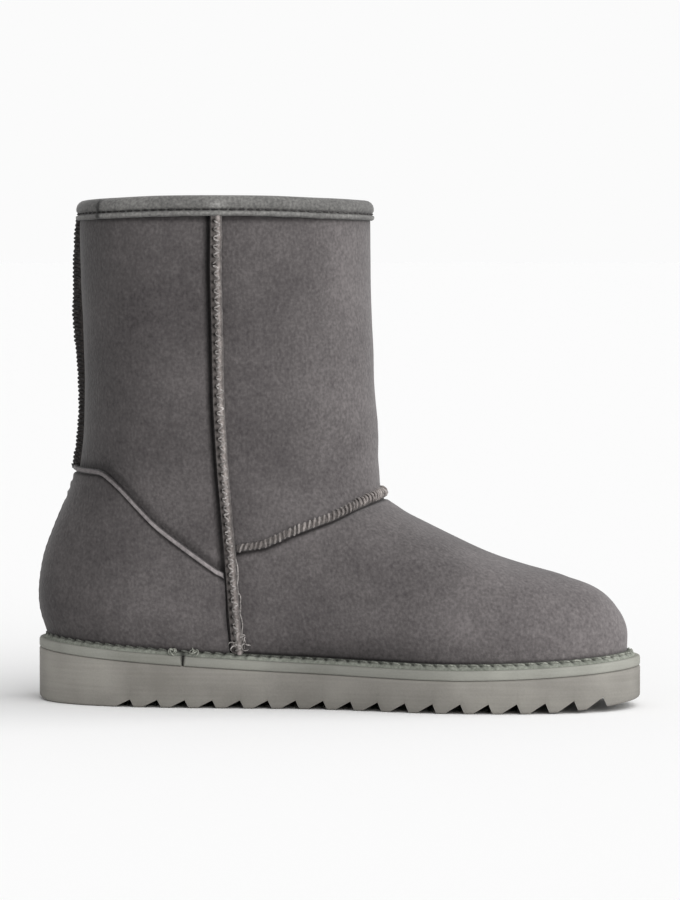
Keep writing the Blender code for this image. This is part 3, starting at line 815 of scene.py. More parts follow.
def seamed_grid():
    """Turns and levels of a grid whose lines follow the side seams and the instep seam."""
    column = np.append(crowded(BACK_COLUMNS), 1 + crowded(FRONT_COLUMNS)[1:])
    row = np.append(crowded(VAMP_ROWS), 1 + crowded(SHAFT_ROWS)[1:])[:, None]
    turn = np.broadcast_to(column * math.pi / 2, (len(row), len(column)))
    for _ in range(8):
        knot = instep_seam_level(turn)
        level = np.where(row < 1, row * knot, knot + (row - 1) * (COLLAR_SECTION - knot))
        seam = side_seam_turn(level)
        turn = np.where(column < 1, column * seam, seam + (column - 1) * (math.pi - seam))
    turn = np.hstack([turn, 2 * math.pi - turn[:, -2:0:-1]])
    level = np.hstack([level, level[:, -2:0:-1]])
    return turn, level


def counter_top(x):
    """Height of the heel counter's top edge at x."""
    back = ROWS[INSTEP_SECTION][0]
    drop = between(COUNTER_TOP, (x - back) / (side_seam_x(COUNTER_FOOT) - back))
    return COUNTER_HEIGHT + (COUNTER_FOOT - COUNTER_HEIGHT) * drop


def suede_shade(turn, level):
    """How dark the suede is at a place, as a share of its own colour. It holds the hide's tone and
    dust, and painted shade and painted light.
    """
    points = surface(turn, level)
    x, z = points[..., 0], points[..., 2]
    over_sole = z - sole_top(x)
    is_back = 1 - is_in_front(beside_side_seam(turn, level) + 2 * MM)
    is_high = eased(z, 80, 30)
    toe = eased(x, 20, 85)
    # The shaft is a little darker than the foot and its back panel darker still, partly a darker
    # hide and partly painted shade. Towards the back both are painted darker as shade
    shade = 1 - is_high * (0.08 + 0.06 * is_back)
    shade = shade * (1 - 0.38 * eased(-x, 75, 45))
    shade = shade * (1 - 0.16 * is_high * eased(-x, 65, 40))
    # Painted light: the toe is painted paler, most of all low down on its side, and the front of
    # the shaft is painted paler as a highlight
    shade = shade * (1 + toe * (0.22 + 0.3 * bell(over_sole, 26 * MM)))
    shade = shade * (1 + 0.25 * is_high * eased(x, -20, 30))
    # Glue and dust leave a broad smudge; the hem over the sole and the thin line over the welt are
    # painted shade where the upper meets the welt
    smudge = bell(x - 15 * MM, 62 * MM) * bell(over_sole, 13 * MM)
    shade = shade * (1 - 0.52 * smudge) * (1 - (0.3 - 0.2 * toe) * bell(over_sole, 4 * MM))
    shade = shade * (1 - (0.6 - 0.3 * toe) * bell(over_sole - 2.9 * MM, 0.9 * MM))
    return shade * (1 + 0.06 * soft_noise(points, 30 * MM, 11.0))


def line_shade(turn, level):
    """Painted shade: the dark lines in the furrow beside the side seam, under the instep seam,
    over the counter's edge and under the binding.
    """
    points = surface(turn, level)
    x, z = points[..., 0], points[..., 2]
    beside = beside_side_seam(turn, level)
    is_front = is_in_front(beside)
    over_edge = 0.8 * (z - counter_top(x))
    depth = 0.78 + 0.15 * eased(z, 50, 60)
    furrow = depth * bell(beside + GROOVE_PLACE, 1.35 * MM)
    from_instep = above_instep_seam(turn, level) + UNDER_INSTEP
    under_instep = 0.75 * is_front * bell(from_instep, 0.9 * MM)
    over_counter = 0.35 * (1 - is_front) * bell(over_edge - 0.9 * MM, 1.6 * MM)
    under_collar = 0.55 * eased(z - BOOT_HEIGHT + BINDING_DROP, -3, 2)
    return (1 - furrow) * (1 - under_instep) * (1 - over_counter) * (1 - under_collar)


def make_upper():
    turn, level = seamed_grid()
    outside = skin(turn, level)
    wall_rows = np.linspace(len(level) - 1, 0, WALL_ROWS).round().astype(int)
    inside = shell(turn[wall_rows], level[wall_rows], -UPPER_WALL)
    form = rings(np.concatenate([outside, inside]), True)
    outer_shade = suede_shade(turn, level) * line_shade(turn, level)
    shade = np.concatenate([outer_shade.ravel(), np.ones(inside[..., 0].size)])
    make_piece("upper_suede", form, suede, shade, replaced=("upper",))


make_upper()

# %% [markdown]
# A seam's rib, thread or edge needs to know three things at each point of its line: how far
# along it is, which way is beside it and which way is out. With those, a stitch is drawn flat,
# as distances along, beside and out, and then laid on the curved skin. A line's size makes what
# is sewn along it smaller where the seam tapers.

# %% Lines to sew along
Line = namedtuple("Line", "distance points aside up size")


def line_over(points, up, size=1.0):
    """A line through points, with the direction out of the surface at each."""
    steps = np.linalg.norm(np.diff(points, axis=0), axis=1)
    distance = np.append(0.0, np.cumsum(steps))
    aside = unit(np.cross(up, np.gradient(points, axis=0)))
    return Line(distance, points, aside, up, np.broadcast_to(size, distance.shape))


def line_along(turn, level, out=0.0, size=1.0):
    """A line on the skin, through places, a distance out."""
    return line_over(skin(turn, level, out), surface_axes(turn, level)[2], size)


def read_along(line, distance, rows):
    return np.stack([np.interp(distance, line.distance, rows[:, i]) for i in range(3)], -1)


def on_line(line, distance, across, lift):
    """Points at distances along a line, beside it and out of it."""
    distance, across, lift = np.broadcast_arrays(distance, across, lift)
    size = np.interp(distance, line.distance, line.size)
    beside = (size * across)[..., None] * read_along(line, distance, line.aside)
    outward = (size * lift)[..., None] * read_along(line, distance, line.up)
    return read_along(line, distance, line.points) + beside + outward


def stitches(line, starts, shape, radius, sides=6):
    """One thread from each start along a line. Its shape is rows of (along, across, lift)."""
    along, across, lift = np.array(shape).T * MM
    distance = starts[:, None] + along
    ups = read_along(line, distance, line.up)
    return threads(on_line(line, distance, across, lift), ups, radius, sides)


def from_nearest(distance, pitch):
    """How far a distance along a line is from the nearest stitch."""
    return (distance + pitch / 2) % pitch - pitch / 2


def pulled(distance, pitch):
    """1 where a stitch pulls, and 0 half-way between two."""
    return 0.5 + 0.5 * np.cos(2 * math.pi * distance / pitch)


def rib(line, pitch, section, sunk, step=0.45 * MM):
    """A raised rib along a line, drawn in a little once in each pitch. section is rows of
    (across, lift) in mm, and sunk is how much of its height it loses at the thread."""
    distance = np.arange(0, line.distance[-1], step)
    across, lift = np.array(section).T * MM
    pull = pulled(distance, pitch)[:, None]
    height = np.where(lift > 0, lift * (1 - sunk * pull), lift)
    return rings(on_line(line, distance[:, None], across[None, :], height), False)


# %% [markdown]
# Sewing thread on such boots is bonded polyester, about 0.6 mm thick. It is drawn 0.4 to 0.9 mm
# thick here, as wide as each row looks, and thicker up the back, where it is wound. It is
# smoother than suede and a touch lighter, so a row of stitches reads as a chain of small bright
# dashes. Round the collar it is dark, and up the back its dark colour is painted shade. Loose
# ends are left where a seam stops: they curl, because the twist is no longer held.

# %% Thread
PLIES = (Pattern(0.9, 2, 1.0, 1.0),)
FRAY_STEPS = 14
chance = np.random.default_rng(7)


def bonded_thread(name, codes):
    return patterned(name, codes, 0.15, PLIES, 0.1, 0.6, 0.3)


pale_thread = bonded_thread("pale_polyester_thread", ("#8b8683", "#a8a3a0", "#c4bfbc"))
grey_thread = bonded_thread("grey_polyester_thread", ("#4d4948", "#68635f", "#827d79"))
dark_and_shaded_thread = bonded_thread("dark_and_shaded_polyester_thread", ("#1d1b1b", "#2a2828", "#3b3938"))


def frayed(line, places, count, reach, radius):
    """Loose thread ends that curl up from a line, a few from each (distance, across) place."""
    paths = []
    share = np.linspace(0, 1, FRAY_STEPS)
    for distance, across in places:
        for _ in range(count):
            turned = chance.uniform(0, 2 * math.pi)
            bend = chance.uniform(-4, 4)
            angle = turned + bend * share
            far = reach * chance.uniform(0.5, 1.0) * share
            lift = 0.4 * MM + 0.5 * reach * np.sin(math.pi * share) * chance.uniform(0.5, 1.0)
            away = far * np.cos(angle)
            paths.append(on_line(line, distance + away, across + far * np.sin(angle), lift))
    ups = np.broadcast_to(line.up[-1], np.shape(paths))
    return threads(np.array(paths), ups, radius)


print("threads", pale_thread.name, grey_thread.name, dark_and_shaded_thread.name)

# %% [markdown]
# The side seams join front and back. The two cut edges are turned outwards and overlocked. So
# the seam has a low flange with a row of needle holes towards the heel, their darkness painted
# shade, and a pale, wavy crest towards the toe, where the raw edge shows. Below the instep seam
# a second thread runs along the front of the rib, and both threads end in loose loops just above
# the sole.

# %% Side seams
SIDE_PITCH = 3.8 * MM
LOWER_THREAD_TOP = 68 * MM
# The rib's section from the heel's side to the toe's, in mm
FLANGE_AND_CREST = (
    (-2.5, -0.8), (-2.45, 0.5), (-2.15, 0.95), (-1.7, 1.1), (-1.3, 1.1), (-0.9, 1.1), (-0.5, 1.25),
    (-0.1, 1.75), (0.4, 2.3), (1.0, 2.5), (1.6, 2.4), (2.1, 1.8), (2.45, 0.8), (2.5, -0.8),
    (0.0, -1.0),
)
# One stitch goes over the crest and back, as (mm along, mm towards the toe, mm out)
STITCH_OVER = (
    (0.0, -0.9, 0.8), (0.5, -0.3, 1.9), (1.0, 0.6, 2.7), (1.4, 1.3, 2.75), (1.7, 1.9, 1.9),
)
STITCH_BACK = (
    (1.9, 1.9, 1.9), (2.2, 1.3, 2.75), (2.7, 0.6, 2.75), (3.2, -0.3, 1.95), (3.6, -0.9, 0.8),
)
# Where loose ends leave the foot of the seam, as (mm above its end, mm towards the toe)
LOOSE_ENDS = ((8, 3.6), (4, 3.2), (3, 0.0))
SIDE_THREAD_RADIUS = 0.4 * MM
LOWER_THREAD_RADIUS = 0.34 * MM
LOOSE_THREAD_RADIUS = 0.26 * MM
SIDE_STEP = 0.4 * MM
HOLE_PLACE = -1.3 * MM
HOLE_DEPTH = 0.8 * MM
WAVE_SIZE = 3.4 * MM
TATTER_SIZE = 1.7 * MM


def side_seam_line(side):
    foot_turn = turn_at(side_seam_x(0.0), 0.0)
    bottom = surface(foot_turn, welt_level(foot_turn, 0.0))[2]
    height = np.linspace(BOOT_HEIGHT - BINDING_DROP + 2 * MM, bottom, SEAM_SAMPLES)
    turn, level = seen_from_side(side_seam_x(height), height)
    return line_along(side * turn, level)


def make_side_seam(name, side):
    line = side_seam_line(side)
    front = -side
    distance = np.arange(0, line.distance[-1], SIDE_STEP)[:, None]
    middle = read_along(line, distance[:, 0], line.points)
    across, lift = np.array(FLANGE_AND_CREST).T * MM
    wave = soft_noise(middle, WAVE_SIZE, 4.0)[:, None]
    tatter = soft_noise(middle, TATTER_SIZE, 9.0)[:, None]
    is_crest = eased(across, -0.4, 0.7) * (lift > 0)
    hole = bell(from_nearest(distance, SIDE_PITCH), 0.95 * MM)
    hole = hole * bell(across - HOLE_PLACE, 0.9 * MM) * (lift > 0)
    pull = np.cos(2 * math.pi * distance / SIDE_PITCH)
    across = across + is_crest * 0.3 * MM * wave
    lift = lift * (1 - is_crest * (0.12 * pull + 0.2 * tatter)) - HOLE_DEPTH * hole
    form = rings(on_line(line, distance, front * across, lift), False)
    ridge = bell(across - (0.9 + 0.3 * wave) * MM, 0.75 * MM) * (lift > 0)
    # The needle holes are painted dark as shade
    shade = (0.5 + 1.0 * ridge * (1 + 0.6 * tatter)) * (1 - 0.9 * hole)
    make_piece(name + "_rib", form, suede_edge, shade.ravel(), replaced=(name,))
    starts = np.arange(SIDE_PITCH, line.distance[-1] - SIDE_PITCH, SIDE_PITCH)
    starts = starts + 0.25 * MM * chance.uniform(-1, 1, len(starts))
    legs = []
    for half in (STITCH_OVER, STITCH_BACK):
        shape = [(along, front * toward, lift) for along, toward, lift in half]
        legs.append(stitches(line, starts, shape, SIDE_THREAD_RADIUS))
    end = line.distance[-1]
    foot = line.points[-1][2]
    lower = np.linspace(end - (LOWER_THREAD_TOP - foot), end - 2 * MM, 90)
    sway = front * (2.75 + 0.25 * np.sin(lower / (1.9 * MM))) * MM
    ups = read_along(line, lower, line.up)
    path = on_line(line, lower, sway, 0.45 * MM)
    legs.append(threads(path[None], ups[None], LOWER_THREAD_RADIUS))
    loose = [(end - above * MM, front * toward * MM) for above, toward in LOOSE_ENDS]
    legs.append(frayed(line, loose, 3, 4.5 * MM, LOOSE_THREAD_RADIUS))
    form = wavering(joined(legs), 2.6 * MM, 0.5 * MM)
    shade = 0.85 + 0.4 * soft_noise(form.points, WAVE_SIZE, 4.0)
    make_piece(name + "_thread", form, pale_thread, shade)


make_side_seam("side_seam_outer", 1)
make_side_seam("side_seam_inner", -1)

# %% [markdown]
# The instep seam joins vamp and shaft. It is whipped: one thread goes round and round the two
# edges, which rolls them into a rope. The rope is a rib under a row of slanting threads. It is
# thin where it starts at the side seams and fullest over the instep, where its end is painted
# paler as a highlight.

# %% Instep seam
ROPE_PITCH = 2.3 * MM
ROPE_STEP = 0.35 * MM
# The rope's section as (mm across, mm out)
ROPE_SECTION = (
    (-2.1, -0.8), (-2.0, 0.8), (-1.5, 1.7), (-0.6, 2.1), (0.6, 2.1), (1.5, 1.7), (2.0, 0.8),
    (2.1, -0.8), (0.0, -1.0),
)
# One slanting turn of its thread as (mm along, mm across, mm out)
ROPE_TURN = (
    (0.0, -2.2, 0.1), (0.2, -2.0, 1.1), (0.6, -1.3, 2.0), (1.1, 0.0, 2.4), (1.6, 1.3, 2.0),
    (2.0, 2.0, 1.1), (2.2, 2.2, 0.1),
)


def make_instep_seam():
    start = np.searchsorted(instep_x, instep_start_x + SEAM_WIDTH / 2)
    turn, level = INSTEP_TURNS[start:], INSTEP_LEVELS[start:]
    turn = np.concatenate([turn, 2 * math.pi - turn[-2::-1]])
    level = np.concatenate([level, level[-2::-1]])
    fullness = smooth(folded(turn) / math.pi * 1.7 - 0.7)
    line = line_along(turn, level, 0.0, 0.66 + 0.34 * fullness)
    form = rib(line, ROPE_PITCH, ROPE_SECTION, 0.25, ROPE_STEP)
    make_piece("instep_seam_rib", form, suede_edge, 0.42, replaced=("instep_seam",))
    starts = np.arange(0.5 * MM, line.distance[-1] - 2.5 * MM, ROPE_PITCH)
    form = wavering(stitches(line, starts, ROPE_TURN, 0.5 * MM), 3 * MM, 0.45 * MM)
    # The rope's front end gets a painted highlight
    in_front = bell(form.points[:, 0] - instep_front_x, 9 * MM)
    shade = 0.82 + 0.2 * in_front + 0.35 * soft_noise(form.points, 3.5 * MM, 4.0)
    make_piece("instep_seam_rope", form, suede_edge, shade)


make_instep_seam()

# %% [markdown]
# Up the back of the shaft the edges stand out as a narrow fin, bound over with thread. The seam
# faces away from the light, so the fin and its thread are painted dark as shade, and from the
# side it is a dark band with a ragged edge. Each loop of the thread is a hairpin: half a circle
# over the fin's edge, and a leg down either side. Down the counter the seam is flat, with a row
# of small stitches to each side. Where the two meet, the fin's raw corner sticks out.

# %% Back seam and heel seam
LOOP_PITCH = 1.9 * MM
LOOP_RADIUS = 0.75 * MM
LOOP_DEPTH = 1.3 * MM
FIN_HEIGHT = 5 * MM
FIN_STEP = 0.35 * MM
HEEL_SEAM_TOP = 88 * MM
HEEL_STITCH = 4 * MM
STITCH_ROWS_MM = (-1.35, 1.35)
# The fin's section as (mm across, share of its height), and its corner as (mm along, across, out)
FIN_SECTION = (
    (-1.9, -0.2), (-1.5, 0.25), (-1.0, 0.6), (-0.7, 0.93), (0.0, 1.0), (0.7, 0.93), (1.0, 0.6),
    (1.5, 0.25), (1.9, -0.2),
)
RAW_CORNER = ((0.0, 0.0, 1.0), (0.3, 0.1, 2.4), (-0.2, 0.1, 3.4), (-1.0, 0.2, 4.3))
# The heel seam's section as (mm across, mm out), and one of its stitches as (mm along, mm out)
HEEL_SECTION = (
    (-2.2, -0.5), (-2.0, 0.15), (-1.2, 0.5), (-0.35, 0.45), (0.0, 0.1), (0.35, 0.45), (1.2, 0.5),
    (2.0, 0.15), (2.2, -0.5), (0.0, -0.6),
)
HEEL_DASH = ((0.0, -0.1), (0.4, 0.3), (1.6, 0.38), (2.7, 0.3), (3.1, -0.1))


def fin_height(line, distance):
    return FIN_HEIGHT * between(BACK_SEAM, distance / line.distance[-1])


def make_back_seam():
    top = BOOT_HEIGHT - BINDING_DROP - COLLAR_CROWN + 1 * MM
    height = np.linspace(top, COUNTER_HEIGHT - 2 * MM, SEAM_SAMPLES)
    turn = np.zeros_like(height)
    line = line_along(turn, level_at_height(turn, height))
    distance = np.arange(0, line.distance[-1], FIN_STEP)[:, None]
    across, share = np.array(FIN_SECTION).T
    fin = rings(on_line(line, distance, across * MM, fin_height(line, distance) * share), False)
    corner = stitches(line, line.distance[-1:] - 1 * MM, RAW_CORNER, 0.7 * MM)
    form = joined([fin, corner])
    # The fin's dark shade is painted shade
    make_piece("back_seam_fin", form, suede_edge, 0.2, replaced=("back_seam",))
    starts = np.arange(1 * MM, line.distance[-1] - 1 * MM, LOOP_PITCH)[:, None]
    heart = fin_height(line, starts) - LOOP_DEPTH
    reached = np.linspace(-1.7, 1.7, 15)
    bend = np.clip(reached, -1, 1) * math.pi / 2
    leg = np.maximum(0, np.abs(reached) - 1) * 3.2 * MM
    along = starts + 0.6 * MM * np.linspace(-1, 1, len(bend))
    side = np.sin(bend) * (1.0 * MM + 0.25 * leg)
    paths = on_line(line, along, side, heart + 1.1 * MM * np.cos(bend) - leg)
    outward = paths - on_line(line, along, 0.0, heart - 3 * MM)
    loops = wavering(threads(paths, unit(outward), LOOP_RADIUS, 8), 2.2 * MM, 0.3 * MM)
    # The loops' dark colour is painted shade too
    make_piece("back_seam_loops", loops, dark_and_shaded_thread, 1.1)


def make_heel_seam():
    bottom = surface(0.0, welt_level(0.0, 2 * GAP))[2]
    height = np.linspace(HEEL_SEAM_TOP, bottom, SEAM_SAMPLES)
    turn = np.zeros_like(height)
    line = line_along(turn, level_at_height(turn, height), COUNTER_THICKNESS + GAP)
    form = rib(line, HEEL_STITCH, HEEL_SECTION, 0.05)
    # Its middle is painted darker as shade in the dip between its two halves
    shade = 0.8 - 0.3 * bell(form.points[:, 1], 0.5 * MM)
    make_piece("heel_seam_rib", form, suede, shade, replaced=("heel_seam",))
    starts = np.arange(1 * MM, line.distance[-1] - HEEL_STITCH, HEEL_STITCH)
    rows = []
    for side in STITCH_ROWS_MM:
        dash = [(along, side, lift) for along, lift in HEEL_DASH]
        rows.append(stitches(line, starts, dash, 0.2 * MM))
    make_piece("heel_seam_stitches", joined(rows), grey_thread)


make_back_seam()
make_heel_seam()

# %% [markdown]
# The heel counter is a second layer of suede over a stiffener. Its top edge is left raw: it
# stands up as a pale cord, with a sewn furrow just below it. The edge's outermost face is painted
# dark as a shadow line over the cord, and the furrow gets painted shade. The overlay is made from
# the same places as the skin, a little further out, so the two can't cross. Down its middle the
# heel seam's stitches pull its upper part into small bumps.

# %% Heel counter
COUNTER_STEPS = 80
EDGE_ROWS_MM = (0.0, 0.2, 0.4, 0.65, 1.0, 1.5, 2.0, 2.4, 2.8, 3.2, 3.6, 4.1, 4.7, 5.4, 6.4)
BODY_ROWS = 50
EDGE_HEIGHT = 1.0 * MM
FURROW_DEPTH = 0.8 * MM
FURROW_PLACE = 3.8 * MM
COUNTER_GAP = 1.4 * MM
BUMPS_HEIGHT = 95 * MM


def counter_places():
    """Turns and levels of the counter from its foot to its top edge, and the depth below it."""
    beside_seam = SEAM_WIDTH / 2 + COUNTER_GAP
    back = surface(0.0, level_at_height(0.0, COUNTER_HEIGHT))[0]
    seam = side_seam_x(COUNTER_FOOT)
    share = np.abs(np.linspace(-1, 1, 2 * COUNTER_STEPS + 1))
    side = np.where(np.arange(len(share)) < COUNTER_STEPS, -1.0, 1.0)
    top_x = back + (seam - beside_seam - back) * smooth(share / 2) / smooth(0.5)
    drop = between(COUNTER_TOP, (top_x - back) / (seam - back))
    for _ in range(10):
        drop = np.hstack([drop[:1], (drop[:-2] + 2 * drop[1:-1] + drop[2:]) / 4, drop[-1:]])
    top_height = COUNTER_HEIGHT + (COUNTER_FOOT - COUNTER_HEIGHT) * drop
    top_turn, top_level = seen_from_side(top_x, top_height)
    foot_x = side_seam_x(surface(math.pi / 2, 0.0)[2]) - beside_seam
    foot_turn = share * turn_at(foot_x, welt_level(math.pi / 2))
    foot_level = welt_level(foot_turn)
    height = (top_height - surface(foot_turn, foot_level)[:, 2])[:, None]
    edge = 1 - np.array(EDGE_ROWS_MM) * MM / height
    body = np.linspace(0, 1, BODY_ROWS, endpoint=False) * edge[:, -1:]
    rise = np.hstack([body, edge[:, ::-1]])
    turn = side[:, None] * (foot_turn[:, None] + (top_turn - foot_turn)[:, None] * rise)
    level = foot_level[:, None] + (top_level - foot_level)[:, None] * rise
    return turn, level, (1 - rise) * height


def make_heel_counter():
    turn, level, below = counter_places()
    cord = eased(below, 0, 0.5) * (1 - eased(below, 2.3, 0.8))
    furrow = bell(below - FURROW_PLACE, 0.75 * MM)
    hem = 1 - eased(below, 0, 0.3)
    _, y, z = np.moveaxis(surface(turn, level), -1, 0)
    bumps = pulled(z, HEEL_STITCH) * bell(y, 4 * MM) * bell(z - BUMPS_HEIGHT, 8 * MM)
    out = GAP + COUNTER_THICKNESS * (1 - 0.5 * hem) + EDGE_HEIGHT * cord - FURROW_DEPTH * furrow
    outer = skin(turn, level, out + 0.9 * MM * bumps)
    inner = skin(turn[:, ::6], level[:, ::6], 0.5 * GAP)
    sections = np.concatenate([outer, inner[:, ::-1]], axis=1)
    lip = 1 - eased(below, 0.05, 0.35)
    # Painted shade in the furrow and a painted shadow line on the edge; the cord is the raw edge's
    # pale
    painted_light_and_tone = suede_shade(turn, level) * (1 - 0.5 * furrow) * (1 + 1.5 * cord) * (1 - 0.85 * lip)
    shade = np.concatenate([painted_light_and_tone, np.ones(inner.shape[:2])], axis=1).ravel()
    form = rings(sections, False)
    make_piece("heel_counter_suede", form, suede, shade, replaced=("heel_counter",))


make_heel_counter()

# %% [markdown]
# The collar is bound with a strip that rolls over the top edge and is sewn down once near its
# lower edge. The stitching pulls a furrow, painted darker as shade, and the hem below it stands
# out as a ridge with a painted highlight, over a painted shadow line under the strip. The strip
# starts and ends at the back, on the inner side, where it laps over itself, with a painted
# shadow along the lap.

# %% Collar binding
BINDING_COLUMNS = 300
BINDING_PITCH = 3.9 * MM
LAP_X = -100.5 * MM
FURROW_DROP = 6.2 * MM
HEM_DROP = 7.6 * MM
# The binding's section as (mm out from the collar, mm down from its top), from inside to outside
BINDING_SECTION = (
    (-5.1, 9.0), (-5.7, 9.3), (-6.4, 8.8), (-6.5, 6.0), (-6.3, 3.2), (-5.5, 1.3), (-4.1, 0.3),
    (-2.4, 0.0), (-0.8, 0.3), (0.5, 1.1), (1.4, 2.3), (1.8, 3.7), (1.75, 4.9), (1.3, 5.6),
    (0.85, 6.0), (0.85, 6.4), (1.3, 6.8), (1.9, 7.1), (2.05, 7.6), (1.95, 8.3), (1.5, 8.8),
    (0.9, 9.1), (0.35, 8.8), (0.3, 5.0), (0.3, 1.6), (-2.4, 1.3), (-5.0, 2.0),
)
# One stitch as (mm along, mm across, mm out)
COLLAR_DASH = (
    (0.0, 0.0, -0.4), (0.35, 0.0, 0.2), (1.6, 0.0, 0.35), (2.7, 0.0, 0.2), (3.1, 0.0, -0.4),
)


def binding_frame(turn):
    """The collar's edge at a turn, and the level direction out of it."""
    collar = np.full_like(turn, COLLAR_SECTION)
    outward = surface_axes(turn, collar)[2] * (1, 1, 0)
    return surface(turn, collar), unit(outward)


def lap_distance(turn):
    """How far in front of the binding's lap a turn is, on the inner side; elsewhere it is far."""
    x = surface(turn, np.full_like(turn, COLLAR_SECTION))[..., 0]
    return np.where(np.sin(turn) < 0, x - LAP_X, 1.0)


def over_side_seam(turn):
    from_seam = (folded(turn) - side_seam_turn(COLLAR_SECTION)) * SHAFT_DEPTH / 2
    return bell(from_seam, 3 * MM)


def binding_point(turn, out, drop):
    """A point of the binding. It swells where a side seam runs under it and where it laps."""
    turn, out, drop = np.broadcast_arrays(turn, out, drop)
    top, outward = binding_frame(turn)
    lapped = lap_distance(turn)
    step = smooth(0.5 + lapped / (0.5 * MM)) * np.exp(-np.maximum(0, lapped) / (7 * MM))
    swell = (0.7 * over_side_seam(turn) + 0.6 * step) * MM
    swell = swell * eased(out, 0, 1.5) * eased(drop, 0, 2)
    wave = 0.12 * MM * soft_noise(top, 6 * MM, 2.0) * eased(drop, 0, 5)
    rise = GAP + BINDING_THICKNESS - drop + 0.25 * MM * soft_noise(top, 24 * MM, 8.0)
    rise = rise + 0.22 * MM * soft_noise(top, 5 * MM, 6.0) * eased(drop, 6, 2)
    return top + (out + swell + wave)[..., None] * outward + rise[..., None] * UP


def binding_turns():
    near_lap = np.linspace(-2.5, 2.5, 13) * MM / (SHAFT_DEPTH / 2)
    steps = turns(4000)
    at = steps[np.argmin(np.abs(lap_distance(steps)))]
    return np.sort(np.append(turns(BINDING_COLUMNS), at + near_lap))


# Split leather tape: finer and smoother than the suede, with a faint nap along it
TAPE = (Pattern(30, 2, 0.4, 0.0), Pattern(1.2, 3, 0.6, 1.0))
tape = patterned(
    "split_leather_tape", ("#565554", "#6d6c6a", "#858481"), 0.16, TAPE, 0.2, 0.9, 0.15, 0.2
)


def make_binding():
    turn = binding_turns()[:, None]
    out, drop = np.array(BINDING_SECTION).T * MM
    outside = out > 0
    hem = bell(drop - HEM_DROP, 0.8 * MM) * outside
    under = bell(drop - BINDING_DROP, 0.45 * MM)
    furrow = bell(drop - FURROW_DROP, 0.75 * MM) * outside
    seam_spot = 0.8 * over_side_seam(turn) * bell(drop - 4.4 * MM, 1.4 * MM) * outside
    # Painted highlights on the hem's ridge and over each side seam's bulge; painted shade in the
    # furrow and under the strip
    shade = (1 + 0.3 * hem + seam_spot) * (1 - 0.6 * under) * (1 - 0.4 * furrow)
    lapped = lap_distance(turn)
    behind_lap = eased(-lapped, 0, 1) * smooth(-np.sin(turn) / 0.5)
    # A painted shadow along the lap's edge
    shade = shade * (1 - 0.94 * bell(lapped, 1.1 * MM) * outside) * (1 - 0.4 * behind_lap)
    form = rings(binding_point(turn, out, drop), True)
    make_piece(
        "collar_binding_tape", form, tape, shade.ravel(), replaced=("collar_binding",)
    )
    sewn = np.linspace(0, 2 * math.pi, 600)
    line = line_over(binding_point(sewn, 0.9 * MM, FURROW_DROP), binding_frame(sewn)[1])
    starts = np.arange(0, line.distance[-1] - BINDING_PITCH, BINDING_PITCH)
    form = stitches(line, starts, COLLAR_DASH, 0.33 * MM)
    # The stitches are painted paler towards the front, as light
    painted_light_and_tone = eased(form.points[:, 0], -70, 70)
    make_piece("collar_stitches", form, dark_and_shaded_thread, 0.8 + 1.6 * painted_light_and_tone)


make_binding()

# %% [markdown]
# The sole is blown foam, cut and sanded to shape. It has closed cells, so it is matt and even,
# with faint lengthwise scratches from sanding. Its walking face is moulded into a saw-tooth
# tread: each tooth is a long ramp that ends in a steep face. A Boolean cuts those in one step
# from a row of wedges, which keeps every edge crisp, and a small bevel softens them.

# %% Foam
SANDED = (
    Pattern(40, 3, 0.2, 0.0, (1, 1, 0.03)),
    Pattern(26, 2, 0.65, 0.0),
    Pattern(0.8, 2, 0.15, 1.0),
)
foam = patterned(
    "sanded_blown_foam", ("#7e7b75", "#8c8983", "#99968f"), 0.16, SANDED, 0.08, 0.72, 0.25
)
rim_foam = patterned(
    "pale_blown_foam", ("#818179", "#8e8e87", "#9a9a92"), 0.16, SANDED, 0.08, 0.72, 0.25
)
print("foams", foam.name, rim_foam.name)

# %% The ridged sole
SOLE_STEPS = 300
SLIT_X = -64.5 * MM
SLIT_DEPTH = 2 * MM
EDGE_BEVEL = 0.25 * MM
# The body's side, as (mm in from the edge, mm up from the walking face)
SOLE_FOOT = ((1.4, 0.0), (0.9, 0.1), (0.4, 0.45), (0.1, 0.9), (0.0, 1.5))
# Its upper edge, as (mm in from the edge, mm down from the rim)
SOLE_HEAD = ((0.0, 1.2), (0.15, 0.7), (0.5, 0.25), (1.0, 0.0))
# The rim's side, as (mm in from the edge, mm down from the sole's top)
RIM_SIDE = (
    (1.0, 4.2), (0.45, 4.15), (0.1, 3.9), (0.0, 3.3), (0.0, 1.4), (0.1, 0.8), (0.35, 0.25),
    (0.8, 0.0), (1.6, -0.05),
)


def slab(points):
    """A form from a bottom ring to a top ring. Its two faces are strips straight across."""
    rows, columns = points.shape[:2]
    faces = grid_faces(rows, columns, False, True)
    for start in (0, (rows - 1) * columns):
        for i in range(columns // 2):
            across = (i, i + 1, columns - i - 1, (columns - i) % columns)
            faces.append([start + corner for corner in dict.fromkeys(across)])
    return Form(points.reshape(-1, 3), faces)


def sole_ring(inset, height, at=turns(SOLE_STEPS)):
    edge = sole_edge(at, inset)
    return np.column_stack([edge, height(edge[:, 0])])


def tread_cutters():
    """Wedges across the sole, each a ramp that ends in a steep face."""
    forms = []
    for x in np.arange(HEEL_PAD - SOLE_LENGTH / 2, SOLE_LENGTH / 2 - TOE_PAD, TREAD_PITCH):
        start, end = x - TREAD_RAMP, x + TREAD_LEAN
        depth = TREAD_DEPTH + TREAD_DEEPENING * smooth(from_heel(x))
        below = -2 * TREAD_DEPTH
        profile = [
            (start, sole_bottom(start)), (x, sole_bottom(x) + depth), (end, sole_bottom(end)),
            (end, below), (start, below),
        ]
        ends = [[(px, y, pz) for px, pz in profile] for y in (-BALL_WIDTH, BALL_WIDTH)]
        forms.append(rings(np.array(ends), False))
    return joined(forms)


